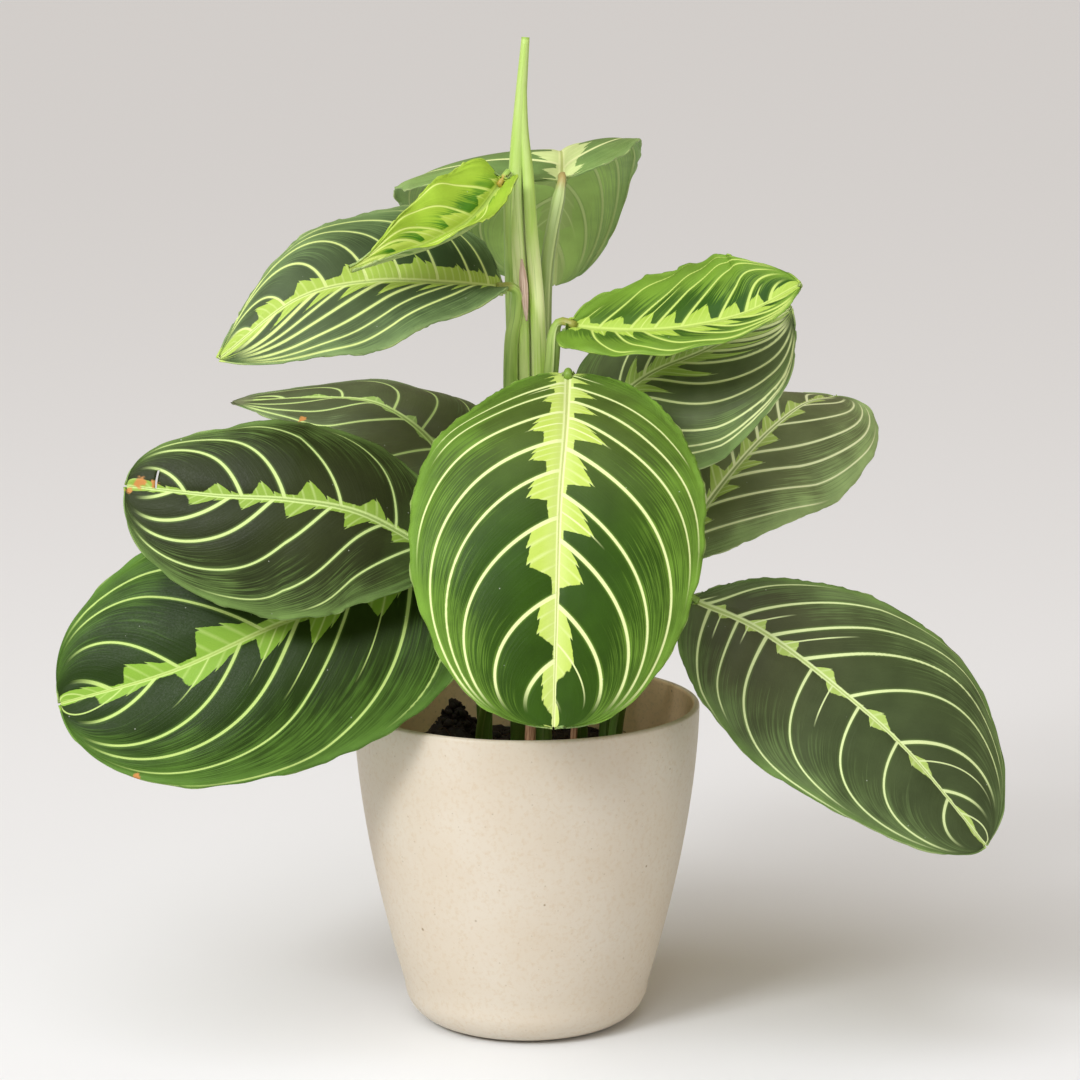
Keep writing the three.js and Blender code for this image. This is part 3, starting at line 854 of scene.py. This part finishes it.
@dataclass
class Leaf:
    """One leaf blade, thin at its margin, with a rib that stands out beneath.

    The form repeats the solid's: rib is the midrib from base to tip, faces the way the upper
    side looks at the base, middle and tip, halves the widths left and right of the midrib,
    widest where each is broadest, fullness how pointed the ends are, fold and bend the rise
    and the curl of both halves in degrees, lobe how far the shoulders reach back, and waves
    and wave the margin's ripples. Lengths are in millimetres.
    """

    name: str
    finish: LeafFinish
    rib: Sequence[Point]
    faces: Sequence[Point]
    halves: tuple[float, float]
    widest: tuple[float, float] = (0.46, 0.46)
    fullness: tuple[float, float] = (0.5, 0.45)
    fold: tuple[float, float] = (6, 6)
    bend: float = -40
    lobe: float = 10
    waves: float = 3
    wave: float = 1.2
    veins: float = 7  # side veins in each half
    crowd: float = 0.8  # under 1 sets them closer together near the base
    phase: tuple[float, float] = (0, 0.35)  # where they start, left and right
    sweep: tuple[float, float] = (0.25, 0.25)  # how far they run to the tip, left and right
    hook: tuple[float, float] = (1, 1)  # over 1 makes them leave the midrib squarely
    quilt: float = 0.5  # how far the skin swells between two veins
    groove: float = 0.7  # how far it sinks over the midrib
    flutter: float = 0.35  # how far the margin rises and falls from vein to vein
    nick: float = 0.006  # how deep its small nicks are, as a share of the width
    tear: tuple[float, ...] = ()  # from and to, back from the tip, then across
    skin: float = 0.42  # how far the highest skin lies over the middle surface
    thickness: float = 0.55
    rib_height: float = 2.2
    rows: int = 130
    columns: int = 100

    def __post_init__(self) -> None:
        """Prepares the midrib."""
        self.course = Course(self.rib)

    def surface(self, u: np.ndarray, v: np.ndarray) -> tuple[np.ndarray, np.ndarray]:
        """Finds points of the blade's middle surface.

        Args:
            u: Shares along the midrib.
            v: Shares across, from -1 at the left margin to 1 at the right.

        Returns:
            The places in millimetres, and how far each is from the midrib along the blade.
        """
        ahead = self.course.ahead(u)
        base, middle, tip = (unit(np.array(f, float)) for f in self.faces)
        first, second = np.clip(2 * u, 0, 1)[:, None], np.clip(2 * u - 1, 0, 1)[:, None]
        up = base + (middle - base) * first + (tip - middle) * second
        up = unit(up - ahead * (up * ahead).sum(1, keepdims=True))
        right = np.cross(ahead, up)
        side = (v >= 0).astype(int)
        half = np.array(self.halves, float)[side]
        power = math.log(0.5) / np.log(np.array(self.widest))[side]
        round_ = np.maximum(0, np.sin(math.pi * np.clip(u, 1e-9, 1) ** power))
        breadth = round_ ** (self.fullness[0] + (self.fullness[1] - self.fullness[0]) * u)
        end = BASE_HALF_WIDTH + (TIP_HALF_WIDTH - BASE_HALF_WIDTH) * u
        along = np.abs(v) * (end + (half - end) * breadth)
        fold = np.radians(self.fold[0] + (self.fold[1] - self.fold[0]) * u)
        turn = math.radians(self.bend) / half
        turned = fold + turn * along
        ripple = self.wave * v * v * breadth * np.sin(TURN * (self.waves * u + 0.3 * side))
        out = (np.sign(v) * (np.sin(turned) - np.sin(fold)) / turn)[:, None]
        rise = ((np.cos(fold) - np.cos(turned)) / turn + ripple)[:, None]
        back = (self.lobe * v * v * breadth * (1 - u) ** 2)[:, None]
        return self.course.at(u) + right * out + up * rise - ahead * back, along

    def vein_number(self, u: np.ndarray, share: np.ndarray, right: bool) -> np.ndarray:
        """Counts the side veins passed at a place, which leave the midrib and sweep to the tip.

        Args:
            u: Shares along the midrib.
            share: Shares from the midrib to the margin.
            right: Whether the places are in the right half.

        Returns:
            A whole number on each vein, and a fraction between two.
        """
        start = np.linspace(-0.6, 1, 800)
        early = 0.02**self.crowd
        spread = np.maximum(start + 0.02, 0.02) ** self.crowd - early
        spread = np.where(start < 0, self.crowd * early / 0.02 * start, spread)
        counts = self.veins * spread + self.phase[right]
        wobble = self.finish.seed * 1.7 + 2.1 * right
        counts = counts + 0.12 * np.sin(1.9 * counts + wobble)
        growth = self.sweep[right] * np.clip(0.4 + 1.5 * start, 0.4, 1)
        levels, which = np.unique(np.round(share, 6), return_inverse=True)
        found = np.zeros_like(u)
        for i, level in enumerate(levels):
            here = which == i
            run = growth * (-math.log(1 - min(level, 0.995))) ** self.hook[right]
            found[here] = np.interp(u[here], np.maximum.accumulate(start + run), counts)
        return found

    def vein_gap(self, u: np.ndarray, share: np.ndarray, right: bool) -> np.ndarray:
        """Measures the room between two side veins, from slopes over small steps.

        Args:
            u: Shares along the midrib.
            share: Shares from the midrib to the margin.
            right: Whether the places are in the right half.

        Returns:
            How many millimetres lie between two veins at each place.
        """
        step, side = 2e-3, 1 if right else -1
        u0, u1 = np.clip(u - step, 0, 1), np.clip(u + step, 0, 1)
        a0, a1 = np.clip(share - step, 0, 1), np.clip(share + step, 0, 1)
        v, v0, v1 = (side * np.maximum(*pair) for pair in ((share, 1e-4), (a0, 1e-4), (a1, 2e-4)))
        du, da = u1 - u0, a1 - a0
        by_u = (self.surface(u1, v)[0] - self.surface(u0, v)[0]) / du[:, None]
        by_a = (self.surface(u, v1)[0] - self.surface(u, v0)[0]) / da[:, None]
        n_u = (self.vein_number(u1, share, right) - self.vein_number(u0, share, right)) / du
        n_a = (self.vein_number(u, a1, right) - self.vein_number(u, a0, right)) / da
        uu, ua, aa = (by_u * by_u).sum(1), (by_u * by_a).sum(1), (by_a * by_a).sum(1)
        area = np.maximum(uu * aa - ua * ua, 1e-6)
        slope = (n_u * n_u * aa - 2 * n_u * n_a * ua + n_a * n_a * uu) / area
        return np.clip(1 / np.sqrt(np.maximum(slope, 1e-6)), 0.3, 60)

    def build(self) -> Piece:
        """Bends a fine grid into the blade, charts its veins and gives it its thickness.

        Returns:
            The leaf, in place.
        """
        sheet = Sheet(self.columns, self.rows)
        # Rows crowd at both ends and columns at the midrib. Nicks come every 12 and 27 mm.
        u = (1 - np.cos(math.pi * (sheet.along + 1) / 2)) / 2
        v = np.sign(sheet.across) * np.abs(sheet.across) ** 1.15
        run = u * self.course.length
        nick = np.sin(run / 1.9 + self.finish.seed) + np.sin(run / 4.3 + 2 * np.sign(v))
        v *= 1 - self.nick * np.abs(v) ** 4 * (2 + nick)
        share = np.abs(v)
        places, beside = self.surface(u, v)
        left, right = (self.vein_number(u, share, side) for side in (False, True))
        number = np.where(v > 0, right, left)
        gap = np.where(v > 0, self.vein_gap(u, share, True), self.vein_gap(u, share, False))
        # The skin swells most midway between two veins, and less near midrib and margin.
        between = number - np.floor(number)
        swell = 4 * between * (1 - between) * np.clip(gap / 10, 0, 1)
        swell *= np.clip(share / 0.2, 0, 1) * np.clip((1 - share) / 0.12, 0, 1)
        lift = self.skin - self.quilt * (1 - swell)
        lift -= self.groove * np.exp(-((beside / 1.7) ** 2)) * (1 - 0.75 * u)
        lift += self.flutter * share**5 * np.sin(TURN * number)
        sheet.bend(places + self._normals(u, v) * lift[:, None])
        side, corner = sheet.right, sheet.corners
        sheet.chart("veins", np.where(side, right[corner], left[corner]),
                    np.where(side, 1, -1) * share[corner])
        sheet.chart("place", run, np.sign(v) * beside)
        sheet.chart("scale", gap, u)
        skins = [self.finish.material(face) for face in Side]
        node = f"leaf_{self.name}"
        piece = smooth_piece(sheet.mesh, node, *skins)
        self._thicken(piece, np.exp(-((beside / 1.3) ** 2)) * (1 - 0.8 * u))
        if self.tear:
            self._rip(piece.data, run, np.sign(v) * beside)
        return place(piece, self.finish.slot, node)

    def _normals(self, u: np.ndarray, v: np.ndarray) -> np.ndarray:
        """Finds the directions out of the upper side.

        Args:
            u: Shares along the midrib.
            v: Shares across.

        Returns:
            One unit row for each place.
        """
        step = 1e-3
        u0, u1 = np.clip(u - step, 0, 1), np.clip(u + step, 0, 1)
        v0, v1 = np.clip(v - step, -1, 1), np.clip(v + step, -1, 1)
        by_u = self.surface(u1, v)[0] - self.surface(u0, v)[0]
        by_v = self.surface(u, v1)[0] - self.surface(u, v0)[0]
        return unit(np.cross(by_v, by_u))

    def _thicken(self, piece: Piece, stands: np.ndarray) -> None:
        """Gives the blade its body, with the rib standing out beneath.

        Args:
            piece: The leaf.
            stands: How much of the rib's height each vertex has.
        """
        ridge = piece.vertex_groups.new(name="ridge")
        for i in np.flatnonzero(stands > 0.01):
            ridge.add([int(i)], float(stands[i]), "REPLACE")
        body = piece.modifiers.new("body", "SOLIDIFY")
        body.thickness = self.rib_height * MM
        body.vertex_group = ridge.name
        body.thickness_vertex_group = self.thickness / self.rib_height
        body.offset = -1
        body.material_offset = 1

    def _rip(self, data: bpy.types.Mesh, along: np.ndarray, beside: np.ndarray) -> None:
        """Takes a slit out of the blade, where it is torn.

        Args:
            data: The leaf's mesh.
            along: How far each vertex is from the base.
            beside: How far each is from the midrib, right being positive.
        """
        nearest, farthest, inner, outer = self.tear
        mesh = bmesh.new()
        mesh.from_mesh(data)
        torn = []
        for face in mesh.faces:
            ends = [v.index for v in face.verts]
            back = self.course.length - along[ends].mean()
            if nearest < back < farthest and inner < beside[ends].mean() < outer:
                torn.append(face)
        bmesh.ops.delete(mesh, geom=torn, context="FACES")
        settled(mesh, data)


# --- Stalks --------------------------------------------------------------------------------

HOLE_DEPTH = 22
LEAD_IN = 5  # the straight end of a stalk, in line with its blade's midrib
TUCK = 2  # how far a stalk runs on under its blade


@dataclass
class Stalk:
    """A tapering stalk along a path, with radii spread evenly along it, in millimetres.

    lap is how far one edge of a rolled sheath stands over the other, as a share of its radius,
    and seam the direction of that edge at the foot and the top, in turns.
    """

    name: str
    finish: StalkFinish | DriedFinish
    path: Sequence[Point]
    radii: Sequence[float]
    slot: str = "stalk"
    leaf: Leaf | None = None
    lap: float = 0.3
    seam: tuple[float, float] = (0, 0)
    swelling: float = 0.1  # how much its joint swells
    neck: float = 1  # how thin it is at the joint, as a share
    flatness: float = 0
    rooted: bool = True
    lead_in: float = LEAD_IN
    sides: int = 36
    rows: int = 110

    def whole_path(self) -> list[Point]:
        """Adds the foot in its hole in the soil and the end at its blade's midrib.

        Returns:
            The path from end to end.
        """
        if not self.rooted:
            return list(self.path)
        whole = [(*self.path[0][:2], SOIL_TOP - HOLE_DEPTH), *self.path]
        if self.leaf:
            zero = np.zeros(1)
            end = self.leaf.surface(zero, zero)[0][0]
            ahead = self.leaf.course.ahead(zero)[0]
            whole += [tuple(end + ahead * step) for step in (-self.lead_in, TUCK)]
        return whole

    def build(self, *nodes: str) -> Piece:
        """Rolls a grid into the stalk.

        Args:
            nodes: The solids that it stands for.

        Returns:
            The stalk, in place.
        """
        course = Course(self.whole_path())
        sheet = Sheet(self.sides, self.rows)
        around, share = (sheet.across + 1) / 2, (sheet.along + 1) / 2
        levels, which = np.unique(np.round(share, 6), return_inverse=True)
        body = np.clip((levels - levels[1]) / (levels[-2] - levels[1]), 0, 1)
        t = course.evenly(body)
        middle, ahead = course.at(t), course.ahead(t)
        across = self._carry(ahead)
        aside = np.cross(ahead, across)
        radius = np.interp(body, np.linspace(0, 1, len(self.radii)), self.radii)
        to_end = (1 - body) * course.length
        if self.leaf:  # a thin end of 7 mm, which swells 6 mm from its end
            radius *= 1 + self.swelling * np.exp(-(((to_end - 6) / 3.2) ** 2))
            radius *= np.interp(to_end, [7, 13], [self.neck, 1])
        radius[0] = radius[-1] = 0
        turn = TURN * (around + np.interp(body, [0, 1], self.seam)[which])
        reach = radius[which] * (1 + self.lap * (around - 0.5))
        places = middle[which] + aside[which] * (reach * np.sin(turn))[:, None]
        places += across[which] * ((1 - self.flatness) * reach * np.cos(turn))[:, None]
        sheet.chart("wrap", around, to_end[which])
        sheet.bend(places)
        sheet.close()
        piece = smooth_piece(sheet.mesh, self.name, self.finish.material())
        return place(piece, self.slot, *nodes)

    @staticmethod
    def _carry(ahead: np.ndarray) -> np.ndarray:
        """Carries a direction across the path along it, turning as little as it can.

        Args:
            ahead: Unit directions along the path.

        Returns:
            A unit direction across it for each.
        """
        out = np.zeros_like(ahead)
        hint = np.array([0.0, -1.0, 0.0])
        for i, way in enumerate(ahead):
            hint = hint - way * (hint @ way)
            hint /= np.linalg.norm(hint)
            out[i] = hint
        return out


# --- The plant -----------------------------------------------------------------------------

MATURE = LeafFinish()
DARK = LeafFinish(
    "leaf_dark", dark="#293316", bronze="#333a1e", mid="#5a733a", edge="#76944f", lime="#83a43a",
    vein="#c4da8c", rib="#86a050", glow=0.1, feather=7, hug=(0.3, 0.3), bay=(0.9, 0.6),
    tongue=0.22, tails=0, vein_width=1.15, blotch=(0.5, 1.1))
YOUNG = LeafFinish(
    "leaf_young", dark="#2e5216", bronze="#40621c", mid="#6a8e2e", edge="#7fa43f", lime="#9dbd44",
    vein="#bfd570", rib="#a0ba58", feather=6, hug=(0.5, 0.5), vein_width=1, blotch=(0.18, 0.5),
    streaks=0.15)


def leaves() -> dict[str, Leaf]:
    """Lists the eleven leaves.

    Returns:
        The leaves by name, each with a finish that is named and seeded for it.
    """
    made = [
        Leaf("front", MATURE,
             [(14, -28, 230), (13, -58, 217), (11, -78, 195), (10, -92, 163), (9, -100, 127)],
             [(0, -0.5, 0.85), (0, -0.85, 0.5), (0, -1, 0)], (49, 50), (0.53, 0.56), (0.5, 0.4),
             bend=-30, lobe=6, veins=9.2, crowd=0.6, sweep=(0.26, 0.22), hook=(1, 1.1)),
        Leaf("left_middle",
             replace(DARK, dark="#293216", bronze="#2f361b", blotch=(0.6, 1.12), scorches=(
                 Scorch(103.5, 1.6, 2.2), Scorch(99.5, 1.4, 1.3), Scorch(106.5, -1.2, 1.2))),
             [(-30, -48, 174), (-54, -54, 188), (-77, -58, 193), (-101, -56, 194),
              (-131, -49, 196)],
             [(0, -0.7, 0.7), (0, -0.9, 0.45), (-0.3, -0.9, 0.4)], (41, 34), (0.53, 0.43),
             bend=-50, veins=5.7, crowd=0.95, phase=(0.9, 0.1), sweep=(0.38, 0.17), hook=(1, 1.1),
             tear=(8.3, 9.1, 0.2, 6.4)),
        Leaf("left_low",
             replace(MATURE, dark="#213609", bronze="#27390e", mid="#476823", edge="#5f8636",
                     lime="#80aa36", vein="#b8d278", rib="#a0b858", glow=0.1, feather=12,
                     hug=(0.35, 0.5), bay=(0.6, 0.3), tongue=0.1, vein_width=1.3,
                     blotch=(0.45, 1.05), scorches=(Scorch(124, -30.5, 1.3),)),
             [(-25, -30, 169), (-52, -40, 159), (-83, -48, 149), (-117, -50, 134),
              (-155, -46, 122)],
             [(-0.2, -0.75, 0.6), (-0.3, -0.9, 0.3), (-0.5, -0.8, 0.2)], (50, 49), (0.48, 0.61),
             fold=(8, 8), bend=-35, veins=6.4, crowd=0.9, phase=(1, 0.35), sweep=(0.3, 0.25)),
        # Its pale greyish colours are partly the leaf's own and partly painted sheen, a broad
        # reflection on its upper side.
        Leaf("left_back",
             replace(DARK, dark="#515b3c", bronze="#5a6040", mid="#70825a", edge="#7f9560",
                     lime="#8fae58", feather=2.5, vein_width=1,
                     scorches=(Scorch(97, 0, 8, "#78805e"), Scorch(70, -16, 1.6))),
             [(-25, 5, 193), (-37, 12, 206), (-53, 22, 214), (-74, 34, 214), (-104, 44, 211)],
             [(-0.4, -0.4, 0.8), (0, -0.4, 0.9), (-0.3, -0.1, 0.9)], (34, 32), (0.38, 0.26),
             (0.5, 0.8), bend=-50, veins=5.5, sweep=(0.35, 0.2), hook=(1, 1.3)),
        # Its pale greyish colours are partly the leaf's own and partly painted sheen, a broad
        # reflection on its upper side.
        Leaf("upper_left",
             replace(DARK, dark="#485839", bronze="#3a4e2d", mid="#66804e", edge="#86a166",
                     lime="#a3c04f", vein="#cfe08d", rib="#9db264", feather=9.5, hug=(0.35, 0.8),
                     bay=(0.95, 0.4)),
             [(-8, -8, 257), (-25, -20, 260), (-51, -34, 262), (-75, -44, 257), (-100, -48, 238)],
             [(-0.1, -0.5, 0.85), (0, -0.72, 0.7), (-0.4, -0.9, 0.4)], (30, 30), (0.58, 0.3),
             (0.5, 0.85), (30, -6), -12, 0, veins=8.5, crowd=0.9, sweep=(0.5, 0.055),
             hook=(1, 1.8)),
        Leaf("young_folded",
             replace(YOUNG, dark="#427a24", bronze="#4f8228", mid="#9bbd3b", edge="#a8c845",
                     lime="#b4cc50", vein="#cfe07e"),
             [(-8, -4, 292), (-18, -18, 281), (-31, -30, 274.5), (-44, -40, 271), (-57, -46, 267)],
             [(0, -0.54, 0.84)] * 3, (12, 17.5), (0.3, 0.3), (0.5, 1.6), (48, 48), -20, 4,
             veins=6, quilt=0.7),
        Leaf("top_back",
             replace(MATURE, dark="#69874a", bronze="#69874a", mid="#7d9a56", edge="#8dab68",
                     lime="#c9dc92", underside="#a4c56c"),
             [(12, 10, 292), (12, 32, 300), (11, 58, 296), (11, 80, 276), (10, 90, 248)],
             [(-0.17, 0, 1), (-0.17, 0.3, 1), (-0.1, 1, 0.2)], (61, 30), fold=(10, 10), bend=-30,
             lobe=0, veins=5.5, sweep=(0.3, 0.3)),
        Leaf("young_right", replace(YOUNG, feather=8, blotch=(0.34, 0.62)),
             [(15, -14, 245), (33, -24, 245), (52, -32, 247), (72, -36, 252), (90, -34, 261)],
             [(0, -0.5, 0.85), (0, -0.5, 0.85), (0, -0.6, 0.8)], (35, 16), (0.5, 0.34), (0.5, 0.6),
             fold=(10, 10), bend=-15, lobe=6, waves=5, wave=0.8, veins=8, crowd=1,
             sweep=(0.2, 0.2), quilt=0.9),
        # Its pale greyish colours are partly the leaf's own and partly painted sheen, a broad
        # reflection on its upper side.
        Leaf("right_upper",
             replace(DARK, dark="#5d6b45", bronze="#5d6b45", mid="#829f5c", edge="#7c985a",
                     lime="#a9c85e", vein="#e6f2b0", feather=12, blotch=(0.6, 1.2)),
             [(20, 12, 206), (40, 4, 225), (59, -6, 235), (75, -10, 243), (89, -10, 250)],
             [(0, -0.6, 0.7), (0, -0.7, 0.6), (0.2, -0.7, 0.6)], (34, 43), (0.42, 0.3),
             (0.5, 0.6), veins=8, crowd=1, phase=(0, 3), sweep=(0.3, 0.9)),
        Leaf("right_back",
             replace(DARK, dark="#68734c", bronze="#68734c", mid="#95af70", edge="#9fb878",
                     lime="#a7c45c", vein="#ebf5c0", streaks=0.4, blotch=(0.45, 1)),
             [(50, 6, 162), (66, 14, 184), (82, 28, 200), (98, 50, 209), (112, 80, 208)],
             [(0, -0.7, 0.7), (0.2, -0.6, 0.8), (0.1, 0, 1)], (34, 36), (0.46, 0.6), (0.5, 0.6),
             lobe=2, veins=7.5, sweep=(0.3, 0.36)),
        Leaf("right_low",
             replace(DARK, dark="#424f2f", bronze="#4a5034", mid="#64784a", edge="#6f8f48",
                     lime="#a9c462", vein="#d5e5a6", rib="#a4ba68", feather=4.2,
                     hug=(0.16, 0.16), bay=(1, 1), tongue=0.27, tails=0.4),
             [(56, -34, 155), (78, -40, 146), (102, -46, 129), (127, -50, 107), (154, -48, 74)],
             [(0, -0.7, 0.7), (0.3, -0.9, 0.4), (0.5, -0.8, 0.3)], (47, 38), (0.7, 0.52),
             (0.5, 0.55), lobe=14, veins=7.5, phase=(0.5, 0.36), sweep=(0.26, 0.08),
             hook=(1, 1.5)),
    ]
    for seed, leaf in enumerate(made, 1):
        leaf.finish = replace(leaf.finish, name=f"{leaf.name}_leaf", seed=seed)
    return {leaf.name: leaf for leaf in made}


GREEN = StalkFinish("green_stalk", "#6d8f3a", "#8fae55", joint="#7a9a3c")
SHEATH = StalkFinish("leaf_sheath", "#8cb44c", "#c0de78", "#678f3a", "#98a04a", 6)
FLAME = replace(SHEATH, name="orange_jointed_sheath", joint="#b0983e", joint_length=5)
BRIGHT = StalkFinish("young_stalk", "#86a843", "#a8c466", "#6b8f38", "#94973f", 7)
PALE = StalkFinish("pale_stalk", "#8fa75c", "#b3c684", "#7d9752", "#aa9a5e", 11)
# The rolled leaf's greens are partly its own pale colour and partly painted light below the top,
# where the leaves round it shade it. Its crown keeps the top darker.
ROLLED = StalkFinish("rolled_leaf", "#cdf076", "#f0fdb8", "#a8cc5e", "#9dbe58", 1,
                     crown="#9dbe58")


@dataclass
class SideStalks:
    """The stems of the seven leaves that rise from the soil beside the main shoot."""

    leaves: dict[str, Leaf]

    def build(self) -> list[Piece]:
        """Makes each stem.

        Returns:
            The stems, in place.
        """
        thin, stout = (2.8, 2.4, 2, 1.9, 2), (3, 2.4, 2, 1.9, 2)
        plans = {
            "front": ([(6, -10, 104), (8, -9, 150), (11, -9, 195), (13, -14, 222)], thin),
            "left_middle": ([(-15, -14, 104), (-10, -29, 132), (-12, -43, 157)], stout),
            "left_low": ([(-14, -5, 104), (-13, -10, 135), (-13, -20, 160)], stout),
            "left_back": ([(-15, 5, 104), (-18, 7, 140), (-21, 4, 175)], (2.6, 2.2, 1.9, 1.8, 1.9)),
            "right_upper": ([(19, 14, 104), (17, 17, 150), (16, 16, 188)], thin),
            "right_back": ([(28, 10, 104), (33, 8, 130), (41, 5, 152)], thin),
            "right_low": ([(31, -6, 104), (37, -14, 128), (45, -26, 148)], (3, 2.6, 2.1, 1.9, 2)),
        }
        return [
            Stalk(f"petiole_{name}_stem", GREEN, path, radii, leaf=self.leaves[name], lap=0.12,
                  lead_in=1.5 if name == "front" else LEAD_IN, neck=0.65).build(f"petiole_{name}")
            for name, (path, radii) in plans.items()
        ]


@dataclass
class MainShoot:
    """The tall shoot: sheathed leaf stalks wrapped round each other, and the rolled new leaf."""

    leaves: dict[str, Leaf]

    def build(self) -> list[Piece]:
        """Makes the sheaths, the rolled leaf and the dried scale.

        Returns:
            The pieces, in place, the first of which stands for the whole shoot.
        """
        first, *others = [
            Stalk("sheath_left", SHEATH,
                  [(-2, 2, 104), (-3.5, 2, 160), (-5.2, 2, 210), (-5.2, 2, 236), (-3.5, 0, 248)],
                  [3.8, 3.4, 2.8, 2.5, 2.4, 2], leaf=self.leaves["upper_left"], neck=0.75,
                  seam=(0.1, 0.2)),
            Stalk("sheath_behind", FLAME,
                  [(-1, 5, 104), (-3, 6, 160), (-4, 6, 220), (-5, 5, 255), (-5.5, 3, 280)],
                  [3.4, 3.2, 2.6, 2.4, 2.1, 2], leaf=self.leaves["young_folded"], neck=0.6,
                  seam=(-0.1, 0.1)),
            Stalk("stalk_back", PALE,
                  [(3, 8, 104), (4, 7.5, 160), (6.2, 7.5, 225), (7.2, 8, 262)],
                  [3, 2.8, 2.4, 2.4, 2.3], leaf=self.leaves["top_back"], neck=0.55, seam=(0, 0.1)),
            Stalk("stalk_young_right", BRIGHT,
                  [(6, 2, 104), (7, 1, 170), (8, -4, 215), (9, -8, 232)],
                  [3, 2.8, 2.7, 2.6, 2.4], leaf=self.leaves["young_right"], neck=0.55,
                  seam=(0.2, 0)),
            Stalk("rolled_leaf_left_fold", ROLLED,
                  [(0, 4, 104), (-0.2, 3.4, 215), (-0.9, 3.1, 245), (-2.9, 3, 275), (-3.6, 3, 292),
                   (-1.9, 3.2, 318), (-0.2, 4, 340)],
                  [3.6, 3.4, 3, 2.8, 2.6, 2.6, 2.6, 2.3, 1.3], lap=0.25, seam=(0.12, 0.2)),
            Stalk("rolled_leaf_right_fold", ROLLED,
                  [(3, 3, 104), (4.2, 1, 185), (4.4, 0, 222), (3.5, 0.5, 251), (1.6, 1, 275),
                   (0.6, 1.7, 293), (-0.8, 2.2, 310), (-0.9, 2.8, 327)],
                  [3.4, 3.3, 3.4, 3.4, 3.1, 2.7, 2.2, 1.1], lap=0.25, seam=(-0.2, -0.2)),
            Stalk("dried_sheath_scale", DriedFinish("dried_sheath", "#f0d8c8", "#c39a86"),
                  [(-1.5, -2.7, 266), (-0.9, -3.2, 258), (-0.3, -3.4, 251), (0.2, -3, 245)],
                  [0.3, 1.1, 1.5, 1.3, 0.9, 0.3], "dried", lap=0, flatness=0.5, rooted=False,
                  rows=40),
        ]
        return [first.build("main_shoot"), *(plan.build() for plan in others)]


@dataclass
class DriedStalks:
    """Two withered stumps that stand in the soil."""

    finish: DriedFinish = DriedFinish("withered_stalk")

    def build(self) -> list[Piece]:
        """Makes both stumps.

        Returns:
            The stumps, in place.
        """
        return [
            Stalk(f"withered_stump_{name}", self.finish, path, radii, "dried", lap=0.5,
                  seam=seam).build(f"dried_stalk_{name}")
            for name, path, radii, seam in (
                ("front", [(1, -33, 98), (1.5, -32, 118)], [1.8, 1.8, 1.5], (0, 0.3)),
                ("right", [(16, -27, 98), (17, -26, 119)], [1.4, 1.3, 1.1], (0.2, 0)),
            )
        ]


# --- Studio --------------------------------------------------------------------------------


@dataclass
class Studio:
    """A pale floor, soft lamps and the camera. Lengths are in metres, and angles in degrees."""

    lens: float = 113.33
    camera_place: Point = (0.0047, -1.150, 0.378)
    camera_dip: float = 10.3
    target: Point = (0, 0, 0.18)  # what the softboxes look at
    floor_reach: float = 25

    def build(self) -> None:
        """Makes the camera, the floor and the lights."""
        scene = bpy.context.scene
        data = bpy.data.cameras.new("camera")
        data.lens, data.sensor_width = self.lens, 36
        scene.camera = show(bpy.data.objects.new("camera", data))
        scene.camera.location = self.camera_place
        scene.camera.rotation_euler = (math.radians(90 - self.camera_dip), 0, 0)
        mesh = bmesh.new()
        bmesh.ops.create_grid(mesh, x_segments=2, y_segments=2, size=self.floor_reach)
        paint = Paint("pale_floor", Base_Color="#eaedf0", Roughness=0.7)  # matt paper
        smooth_piece(settled(mesh), "floor", paint.material)
        self._softbox("key_softbox", (-1.0, -1.25, 1.15), 0.5, 18)
        self._softbox("fill_softbox", (1.3, -1.1, 0.7), 1, 3.5)
        sky = bpy.data.lights.new("overcast_sky", "SUN")
        sky.energy, sky.angle, sky.color = 2.05, math.radians(60), colour("#f6f9ff")[:3]
        high = show(bpy.data.objects.new("overcast_sky", sky))
        high.rotation_euler = Vector((-0.3, -0.5, 1)).to_track_quat("Z", "Y").to_euler()
        scene.world = bpy.data.worlds.new("studio")
        scene.world.use_nodes = True
        backdrop = scene.world.node_tree.nodes["Background"].inputs
        backdrop["Color"].default_value = colour("#ffe4c2")
        backdrop["Strength"].default_value = 0.31
        scene.view_settings.view_transform = "Standard"

    def _softbox(self, name: str, spot: Point, size: float, power: float) -> None:
        """Hangs a square softbox that looks at the plant.

        Args:
            name: The lamp's name.
            spot: Where it hangs.
            size: Its side.
            power: Its power in watts.
        """
        data = bpy.data.lights.new(name, "AREA")
        data.size, data.energy = size, power
        lamp = show(bpy.data.objects.new(name, data))
        lamp.location = spot
        ray = Vector(self.target) - Vector(spot)
        lamp.rotation_euler = ray.to_track_quat("-Z", "Y").to_euler()


def main() -> None:
    """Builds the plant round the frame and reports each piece."""
    logging.basicConfig(level=logging.INFO, format="%(message)s")
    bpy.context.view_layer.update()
    Studio().build()
    planter, blades = Planter(), leaves()
    pieces = [planter.build(), *Soil(planter).build(), *(leaf.build() for leaf in blades.values()),
              *SideStalks(blades).build(), *MainShoot(blades).build(), *DriedStalks().build()]
    for piece in pieces:
        log.info("%s: %d vertices on %s", piece.name, len(piece.data.vertices), BODY)


if __name__ == "__main__":
    main()
